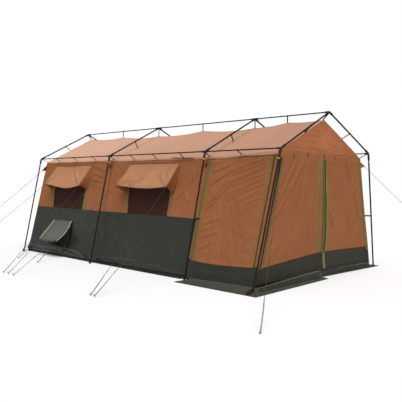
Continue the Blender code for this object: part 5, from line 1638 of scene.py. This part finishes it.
def make_front_wall():
    """The gable, corner strips and sill, sewn as one round the doorway."""
    piece = Piece("porch_front_canvas", WALL, BAND_CLOTH, GABLE, DADO_CLOTH)
    out = array(1, 0, 0)
    zs = spread(SHELL_LOW, DOOR_LOW, BAND_HIGH, 1.79, step=0.03)
    for side in SIDES:
        share, b = np.meshgrid(np.linspace(0.0, 1.0, 5), zs)
        inner = door_edge(b) + 0.002
        a = side * (inner + (wall_half(b) - inner) * share)
        b = np.where(b > 0.2, b + (band_line(a) - BAND_HIGH) * (1 - smoothstep((b - BAND_HIGH) / 1.5)) * (b >= 0.28), b)
        level = np.broadcast_to(((zs[1:] + zs[:-1]) / 2)[:, None], (len(zs) - 1, 4))
        piece.cloth(front_wall, a, b, out, (level < BAND_HIGH).astype(int))
    a, b = np.meshgrid(np.linspace(-1.0, 1.0, 61), spread(SHELL_LOW, DOOR_LOW - 0.001, step=0.026))
    a = a * (door_edge(b) + 0.002)
    piece.cloth(front_wall, a, b, out, 1)
    across = np.linspace(-1.0, 1.0, 141)[None, :] * wall_half(DOOR_HIGH)
    share = np.linspace(0.0, 1.0, 42)[:, None]
    out_share = np.clip(np.abs(across) / EAVE_Y, 0, 1)
    rise = verge_rise(3.03, out_share, across) + np.where(across < 0, eave_rise(3.03), 0.0) * out_share ** 3
    top = roof_z(across) - SEAT + rise
    b = DOOR_HIGH + (top - DOOR_HIGH) * share
    a = np.broadcast_to(across, b.shape)
    limit = wall_half(np.minimum(b, EAVE_Z))
    a = np.clip(a, -limit, limit)
    piece.cloth(front_wall, a, b, out, 2)
    # A facing inside the doorway's head covers the seam the leaves hang from
    a, b = np.meshgrid(np.linspace(-1.0, 1.0, 141) * (float(door_edge(DOOR_HIGH)) + 0.002), [DOOR_HIGH, 1.786, 1.762])
    piece.grid(front_wall(a, b, -0.006 * smoothstep((DOOR_HIGH - b) / 0.004)), np.stack([a, b], -1), 0, facing=out)
    return piece


def make_porch_side(piece, side):
    """The side wall round its panel: header, two upright strips and the sill."""
    wall = LONG_WALLS[side]
    out = array(0, side, 0)
    xs_back = np.linspace(PORCH_BACK, PANEL_BACK - 0.001, 3)
    a, b = np.meshgrid(xs_back, spread(SILL, PANEL_HIGH + 0.001, step=0.03))
    piece.cloth(wall, a, b, out)
    share, b = np.meshgrid(np.linspace(0.0, 1.0, 6), spread(SILL, PANEL_HIGH + 0.001, step=0.03))
    a = front_x(b) - (PANEL_STRIP - 0.002) * (1 - share)
    piece.cloth(wall, a, b, out)
    foot_low = 0.022 if side == NEAR else SHELL_LOW
    for low, high, finish in ((foot_low, SILL, 3), (PANEL_HIGH + 0.001, 1.800, 0)):
        share, b = np.meshgrid(np.linspace(0.0, 1.0, 57), spread(low, high, step=0.02))
        a = PORCH_BACK + (front_x(b) - PORCH_BACK) * share
        piece.cloth(wall, a, b, out, finish)


def make_porch_shell():
    piece = make_front_wall()
    for side in SIDES:
        make_porch_side(piece, side)
    canvas = piece.make(replaces=["porch_shell"], slot="wall_cloth", thickness=CANVAS_THICKNESS, sharp=50)
    trim = Piece("porch_trim", OLIVE, WALL, HEM, ZIP_TAPE, BROWN_TAPE, TIE, DADO_CLOTH, OLIVE_PALE, DARK_TAPE,
                 GREEN_TAPE)
    for side in SIDES:
        wall = LONG_WALLS[side]
        stops = np.linspace(0.30, 1.785, 40)
        corner = lambda inset, side=side: np.stack([side * (wall_half(stops) - inset), stops], -1)
        if side == NEAR:
            turn = np.interp(stops, [0.3, 1.785], [0.034, 0.045])
            trim.strip(front_wall, corner(0.006), corner(turn - 0.001), 0.0016, 8)
            trim.strip(front_wall, corner(turn + 0.001), corner(0.0585), 0.0016, 0)
        else:
            trim.strip(front_wall, corner(0.0015), corner(0.0585), 0.0016, 0)
        trim.tape(wall, [(front_x(z) - 0.083, z) for z in stops], 0.010, 0.0014, 4)
        trim.tape(wall, [(1.7315, z) for z in stops], 0.019, 0.0014, 0)
        trim.tape(wall, [(1.712, SILL + 0.004), (front_x(SILL) - 0.006, SILL + 0.004)], 0.010, 0.0012, 6)
        trim.tape(wall, [(1.712, 1.783), (3.02, 1.783)], 0.014, 0.0014, 1)
        guy_tab(trim, 3, side, 3 if side == NEAR else 2, 3 if side == NEAR else 5)
    # The heads of the strips down the middle, where the front opens
    trim.strip(front_wall, [(-0.137, 1.862), (-0.152, 1.794)], [(-0.072, 1.872), (-0.060, 1.794)], 0.0018, 0)
    trim.strip(front_wall, [(0.004, 1.862), (0.006, 1.794)], [(0.030, 1.856), (0.058, 1.794)], 0.0018, 9)
    trim.strip(front_wall, [(-0.004, 1.878), (0.012, 1.836)], [(0.014, 1.878), (0.028, 1.836)], 0.0024, 7)
    for y, z in ((-0.76, 1.830), (-0.41, 1.856), (-0.005, 1.862), (0.31, 1.834)):
        hang_tie(trim, front_wall, y, z, array(0.7, 0, -1), 5)
    hang_tie(trim, near_wall, 2.618, 1.790, array(0, -0.7, -1), 5)
    bindings = trim.make(slot="wall_cloth")


def hang_tie(piece, surface, a, b, lean, finish):
    """A short toggle tie, sewn on at its top and hanging free."""
    start = surface(array(a), array(b), 0.002)[0]
    lean = unit(lean)
    path = [start + array(0, 0, 0.006), start, start + lean * 0.008 + array(0, 0, -0.010),
            start + lean * 0.007 + array(0, 0, -0.034), start + lean * 0.010 + array(0, 0, -0.048)]
    side = unit(np.cross(lean, array(0, 0, 1)))
    piece.ribbon(path, side, [0.013, 0.013, 0.012, 0.012, 0.008], 0.004, finish)


# The strips down the middle of the front: each one's left and right edge, at seven heights from the top down
CENTRE_STRIPS = {
    NEAR: (
        (((-0.150, -0.150, -0.150, -0.142, -0.117, -0.100, -0.092),
          (-0.060, -0.062, -0.080, -0.092, -0.053, -0.035, -0.028)), 0),
        (((-0.020, -0.022, -0.030, -0.035, -0.012, -0.006, -0.006),
          (-0.0025, -0.0025, -0.0025, -0.0025, -0.0025, -0.0025, -0.0025)), 1),
    ),
    FAR: (
        (((0.0025, 0.0025, 0.0025, 0.0025, 0.0025, 0.0170, 0.0280),
          (0.030, 0.028, 0.032, 0.042, 0.074, 0.060, 0.058)), 1),
        (((0.030, 0.028, 0.032, 0.042, 0.074, 0.060, 0.058),
          (0.056, 0.055, 0.060, 0.069, 0.100, 0.096, 0.090)), 5),
        (((0.056, 0.055, 0.060, 0.069, 0.100, 0.096, 0.090),
          (0.086, 0.086, 0.100, 0.118, 0.142, 0.140, 0.134)), 3),
    ),
}


def make_front_door(side):
    zs = spread(DOOR_LOW, BAND_HIGH, DOOR_HIGH, step=0.022)
    share, b = np.meshgrid(np.linspace(0.0, 1.0, 66), zs)
    band = band_line(side * (0.0015 + (door_edge(b) - 0.0015) * share))
    b = np.where(b <= BAND_HIGH, DOOR_LOW + (b - DOOR_LOW) * (band - DOOR_LOW) / (BAND_HIGH - DOOR_LOW),
                 DOOR_HIGH - (DOOR_HIGH - b) * (DOOR_HIGH - band) / (DOOR_HIGH - BAND_HIGH))
    a = side * (0.0015 + (door_edge(b) - 0.0015) * share)
    level = np.broadcast_to(((zs[1:] + zs[:-1]) / 2)[:, None], (len(zs) - 1, 65))
    body = f"door_{SIDES[side]}"
    leaf = cloth_sheet(f"{body}_canvas", front_wall, a, b, (WALL, BAND_CLOTH), array(1, 0, 0),
                       (level < BAND_HIGH).astype(int), body=body, replaces=[f"front_{body}"], slot="wall_cloth")
    trim = Piece(f"{body}_trim", OLIVE, GREEN_TAPE, ZIP_TEETH, OLIVE_PALE, BAND_CLOTH, DARK_TAPE, ZIP_TAPE)
    levels = (1.775, 1.69, 1.45, 1.25, 0.80, 0.545, 0.40)
    for edges, finish in CENTRE_STRIPS[side]:
        left, right = ([(y, z) for y, z in zip(edge, levels)] for edge in edges)
        trim.strip(front_wall, left, right, 0.0018, finish)
    stops = np.linspace(0.125, 1.775, 60)
    trim.tape(front_wall, [(side * 0.0045, z) for z in stops if z > 0.40], 0.005, 0.0030, 2, columns=3)
    across = side * np.linspace(0.004, float(door_edge(0.13)) - 0.004, 40)
    trim.tape(front_wall, np.stack([across, across * 0 + 0.106], -1), 0.044, 0.0026, 4)
    # A dark zip tape along the top of the band; its darkness is also painted shadow under the orange edge above it.
    across = side * np.linspace(0.004, float(door_edge(0.36)) - 0.004, 40)
    trim.tape(front_wall, np.stack([across, band_line(across) - 0.003], -1), 0.012, 0.0020, 6)
    if side == FAR:
        trim.strip(front_wall, [(0.040, 0.375), (0.062, 0.26), (0.110, 0.120)],
                   [(0.092, 0.375), (0.116, 0.26), (0.170, 0.120)], 0.0026, 3)
    high = stops[stops > 0.33]
    insets = (0.001, np.interp(high, [0.33, 1.785], [0.007, 0.024]) if side == NEAR else 0.024)
    corner = [np.stack([side * (door_edge(high) - inset), high], -1) for inset in insets]
    trim.strip(front_wall, *corner, 0.0018, 0)
    trim.tape(front_wall, np.stack([side * (door_edge(high) - 0.0035), high], -1), 0.005, 0.0034, 2, columns=3)
    bindings = trim.make(body, slot="wall_cloth")


def panel_sag(share):
    """How far the near panel's hem hangs down over the sill, along its width."""
    return np.interp(share, [0.0, 0.10, 0.22, 0.45, 0.75, 1.0], [0.019, 0.028, 0.033, 0.034, 0.020, 0.006])


def make_side_panel(side):
    wall = LONG_WALLS[side]
    share, b = np.meshgrid(np.linspace(0.0, 1.0, 112), spread(PANEL_LOW, PANEL_HIGH, step=0.0125))
    sag = panel_sag(share) if side == NEAR else 0.0 * share
    b = b - sag * ((PANEL_HIGH - b) / (PANEL_HIGH - PANEL_LOW)) ** 3
    a = PANEL_BACK + (front_x(b) - PANEL_STRIP - PANEL_BACK) * share
    body = f"panel_{SIDES[side]}"
    hung = lambda a, b, out=0.0: wall(a, b, out + 0.0035 * smoothstep((PANEL_LOW + 0.015 - b) / 0.015))
    panel = cloth_sheet(f"{body}_canvas", hung, a, b, (WALL,), array(0, side, 0), body=body,
                        replaces=[f"porch_{body}"], slot="wall_cloth")
    trim = Piece(f"{body}_trim", OLIVE, ZIP_TAPE, ZIP_TEETH, HEM)
    stops = np.linspace(PANEL_LOW + 0.003, PANEL_HIGH - 0.002, 60)
    trim.tape(wall, [(PANEL_BACK + 0.0225, z) for z in stops], 0.039, 0.0018, 0)
    wide = np.interp(stops, [1.0, 1.77], [0.030, 0.056])
    edges = [[(float(front_x(z)) - PANEL_STRIP - inset, z) for z, inset in zip(stops, insets)]
             for insets in (wide, wide * 0 + 0.003)]
    trim.strip(wall, *edges, 0.0018, 0)
    for line in ([(PANEL_BACK + 0.003, z) for z in stops], [(front_x(z) - PANEL_STRIP - 0.003, z) for z in stops]):
        trim.tape(wall, line, 0.005, 0.0034, 2, columns=3)
    low = PANEL_LOW + 0.008
    across = np.linspace(0.06, 0.94, 30)
    hem = low - (panel_sag(across) if side == NEAR else 0.0 * across)
    hem_x = PANEL_BACK + (front_x(hem) - PANEL_STRIP - PANEL_BACK) * across
    trim.tape(hung, np.stack([hem_x, hem], -1), 0.014, 0.0012, 3)
    bindings = trim.make(body, slot="wall_cloth")


make_porch_shell()
for side in SIDES:
    make_front_door(side)
    make_side_panel(side)


# Groundsheet and ground flap

def make_groundsheet():
    tub = Piece("cabin_groundsheet", FLOOR_CLOTH)
    back, front = BACK_X + 0.001, FLOOR_FRONT
    xs = spread(back, front, step=0.03)
    for side in SIDES:
        a, b = np.meshgrid(xs, np.linspace(0.0, TUB_TOP, 6))
        crinkle = (0.5 - np.abs(swell(a, b * 2, 0.12, 1.0, 101 + side))) * 0.004 * inside(b, -0.03, TUB_TOP, 0.03)
        points = stack(a, side * (wall_half(b) - 0.004 + crinkle), b + 0.0005)
        if side == NEAR:
            points = stack(a + near_shift(a, b), -(wall_half(b) - 0.004 + crinkle + base_spread(a, b)),
                           b + 0.0005 + corner_lift(a, b) * 0.9)
        tub.grid(points, np.stack([a, b], -1), facing=array(0, side, 0))
    for x, way in ((back, -1), (front, 1)):
        share, b = np.meshgrid(np.linspace(-1.0, 1.0, 61), np.linspace(0.0, TUB_TOP, 5))
        a = share * (wall_half(b) - 0.004)
        tub.grid(stack(x, a, b + 0.0005), np.stack([a, b], -1), facing=array(way, 0, 0))
    a, b = np.meshgrid(spread(back, front, step=0.08), np.linspace(-1.0, 1.0, 39))
    y = b * (BASE_Y - 0.004)
    ripple = np.abs(swell(a, y, 0.5, 1.0, 107)) * 0.004 * inside(np.abs(b), -1, 1, 0.1) * inside(a, back, front, 0.1)
    tub.grid(stack(a, y, 0.0005 + ripple), np.stack([a, y], -1), facing=array(0, 0, 1))
    floor = tub.make(replaces=["cabin_floor"], slot="floor_cloth", sharp=50)


FLAP_INNER = [(PORCH_BACK, -1.5015), (2.9575, -1.5015), (2.9575, 1.5015), (PORCH_BACK, 1.5015)]
FLAP_OUTER = [(1.675, -1.800), (3.207, -1.805), (3.060, 1.690), (PORCH_BACK, 1.690)]


# Where the flap is sewn to the front wall: its height, from the near corner to the far one
SEAM_Y = (-1.50, -1.31, -0.88, -0.39, 0.15, 0.75, 1.50)
SEAM_Z = (0.042, 0.045, 0.070, 0.098, 0.116, 0.098, 0.076)


def make_ground_flap():
    """The mud flap: it leaves the foot of the porch walls and lies out over the ground, in four lengths."""
    flap = Piece("ground_flap_canvas", GROUND_FLAP)
    trim = Piece("ground_flap_hem", GROUND_FLAP, PAINTED_SHADOW_FLAP_CLOTH, SEAM_TAPE)
    legs = [(0, 0.0, 1.0, 0.0), (1, 0.0, 0.515, 0.0), (1, 0.485, 1.0, 0.0035), (2, 0.0, 1.0, 0.0)]
    for number, (side, first, last, raise_by) in enumerate(legs):
        inner = np.array([FLAP_INNER[side], FLAP_INNER[side + 1]])
        outer = np.array([FLAP_OUTER[side], FLAP_OUTER[side + 1]])
        if number == 2:
            # This length is tucked back toward the wall where it meets the other
            outer[0] = (2.890, -1.810)
        share = np.linspace(first, last, 90 if side == 1 else 60)
        down = np.linspace(0.0, 1.0, 19)
        a, b = np.meshgrid(share, down)

        def surface(a, b, out=0.0, inner=inner, outer=outer, number=number, raise_by=raise_by, side=side):
            a, b = np.broadcast_arrays(a, b)
            start = inner[0] + (inner[1] - inner[0]) * a[..., None]
            end = outer[0] + (outer[1] - outer[0]) * a[..., None]
            plan = start + (end - start) * b[..., None]
            fall = np.clip(1 - b / 0.35, 0, 1) ** 1.5
            crinkle = np.abs(swell(a * 3.0, b * 0.5, 0.30, 1.0, 130 + number))
            ripple = (0.006 * crinkle + 0.004 * np.abs(swell(a * 3.0, b * 0.5, 0.12, 1.0, 140 + number))) * np.sin(
                math.pi * np.clip(b * 0.85, 0, 1)) ** 0.7
            top = np.full(a.shape, 0.0594)
            if side == 0:
                top = np.interp(plan[..., 0], [1.72, 3.02], [0.026, 0.046])
            if side == 1:
                top = np.interp(plan[..., 1], SEAM_Y, SEAM_Z)
            height = 0.0022 + (top - 0.0022) * fall + ripple + raise_by * b + out
            step_out = (wall_half(top) - wall_half(0.0594)) * fall * (side == 0)
            forward = (front_x(top) - front_x(0.0594)) * fall * (side == 1)
            return stack(plan[..., 0] + forward, plan[..., 1] - step_out, height)

        keep = np.ones((18, len(share) - 1), bool)
        points = surface(a, b)
        middle = (points[1:, 1:] + points[:-1, :-1]) / 2
        for arch in (2, 3):
            for long_side in SIDES:
                keep &= np.linalg.norm((middle - foot(arch, long_side))[..., :2], axis=-1) > 0.026
        flap.grid(points, np.stack([a * 3.0, b * 0.3], -1), keep=keep, facing=array(0, 0, 1))
        metres = lambda u, v, out=0.0: surface(u / 3.0, v, out)
        line = [(value * 3.0, 0.97) for value in np.linspace(first, last, 40)]
        trim.tape(metres, line, 0.05, 0.0012, 0, columns=3)
        first, last = first + 0.02, last - 0.02
        # On the front length, a wide band of painted shadow next to the wall's foot.
        line = [(value * 3.0, 0.23) for value in np.linspace(first, last, 40)]
        if side > 0:
            trim.tape(metres, line, 0.34, 0.0012, 1, columns=5)
        line = [(value * 3.0, 0.03) for value in np.linspace(first, last, 40)]
        trim.tape(metres, line, 0.030, 0.0020, 2, columns=2)
    canvas = flap.make(replaces=["ground_flap"], slot="trim_cloth", thickness=CANVAS_THICKNESS, sharp=60)
    hem = trim.make(slot="trim_cloth")


make_groundsheet()
make_ground_flap()


# Small metal parts that keep the part's own shape

for node in ("front_zip_slider", "near_zip_slider"):
    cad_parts[node].data.materials.clear()
    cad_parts[node].data.materials.append(STEEL)


# Floor, light and world

def make_stage():
    size = 60.0
    corners = [(x, y, -0.001) for x, y in ((-size, -size), (size, -size), (-size, size), (size, size))]
    mesh = bpy.data.meshes.new("studio_floor")
    mesh.from_pydata(corners, [], [(0, 1, 3, 2)])
    material, graph = new_material("pale_studio_floor")
    grain = graph.add("ShaderNodeTexNoise", {"Scale": 0.6, "Detail": 2.0})
    graph.shade(graph.mix(grain.outputs[0], (0.755, 0.755, 0.755, 1.0), (0.775, 0.775, 0.775, 1.0)), 0.9, 0.0)
    mesh.materials.append(material)
    new_object("studio_floor", mesh)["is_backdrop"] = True
    sun_data = bpy.data.lights.new("soft_sun", "SUN")
    sun_data.energy = 3.2
    sun_data.angle = math.radians(50)
    sun = new_object("soft_sun", sun_data)
    direction = unit(array(-0.35, 0.25, -0.90))
    sun.rotation_euler = (math.atan2(math.hypot(direction[0], direction[1]), -direction[2]), 0.0,
                          math.atan2(direction[0], -direction[1]) + math.pi)
    world = bpy.data.worlds.new("studio_light")
    bpy.context.scene.world = world
    world.use_nodes = True
    graph = Graph(world.node_tree)
    path = graph.add("ShaderNodeLightPath")
    seen = graph.maths("MAXIMUM", path.outputs["Is Camera Ray"], path.outputs["Is Transmission Ray"])
    shade = graph.mix(seen, (0.42, 0.42, 0.43, 1.0), WHITE)
    feed(world.node_tree, world.node_tree.nodes["Background"], {"Color": shade, "Strength": 1.0})
    bpy.context.scene.view_settings.view_transform = "Standard"


make_stage()

{"cad_box": CAD_BOX, "visual_box": [list(corner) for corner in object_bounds()]}
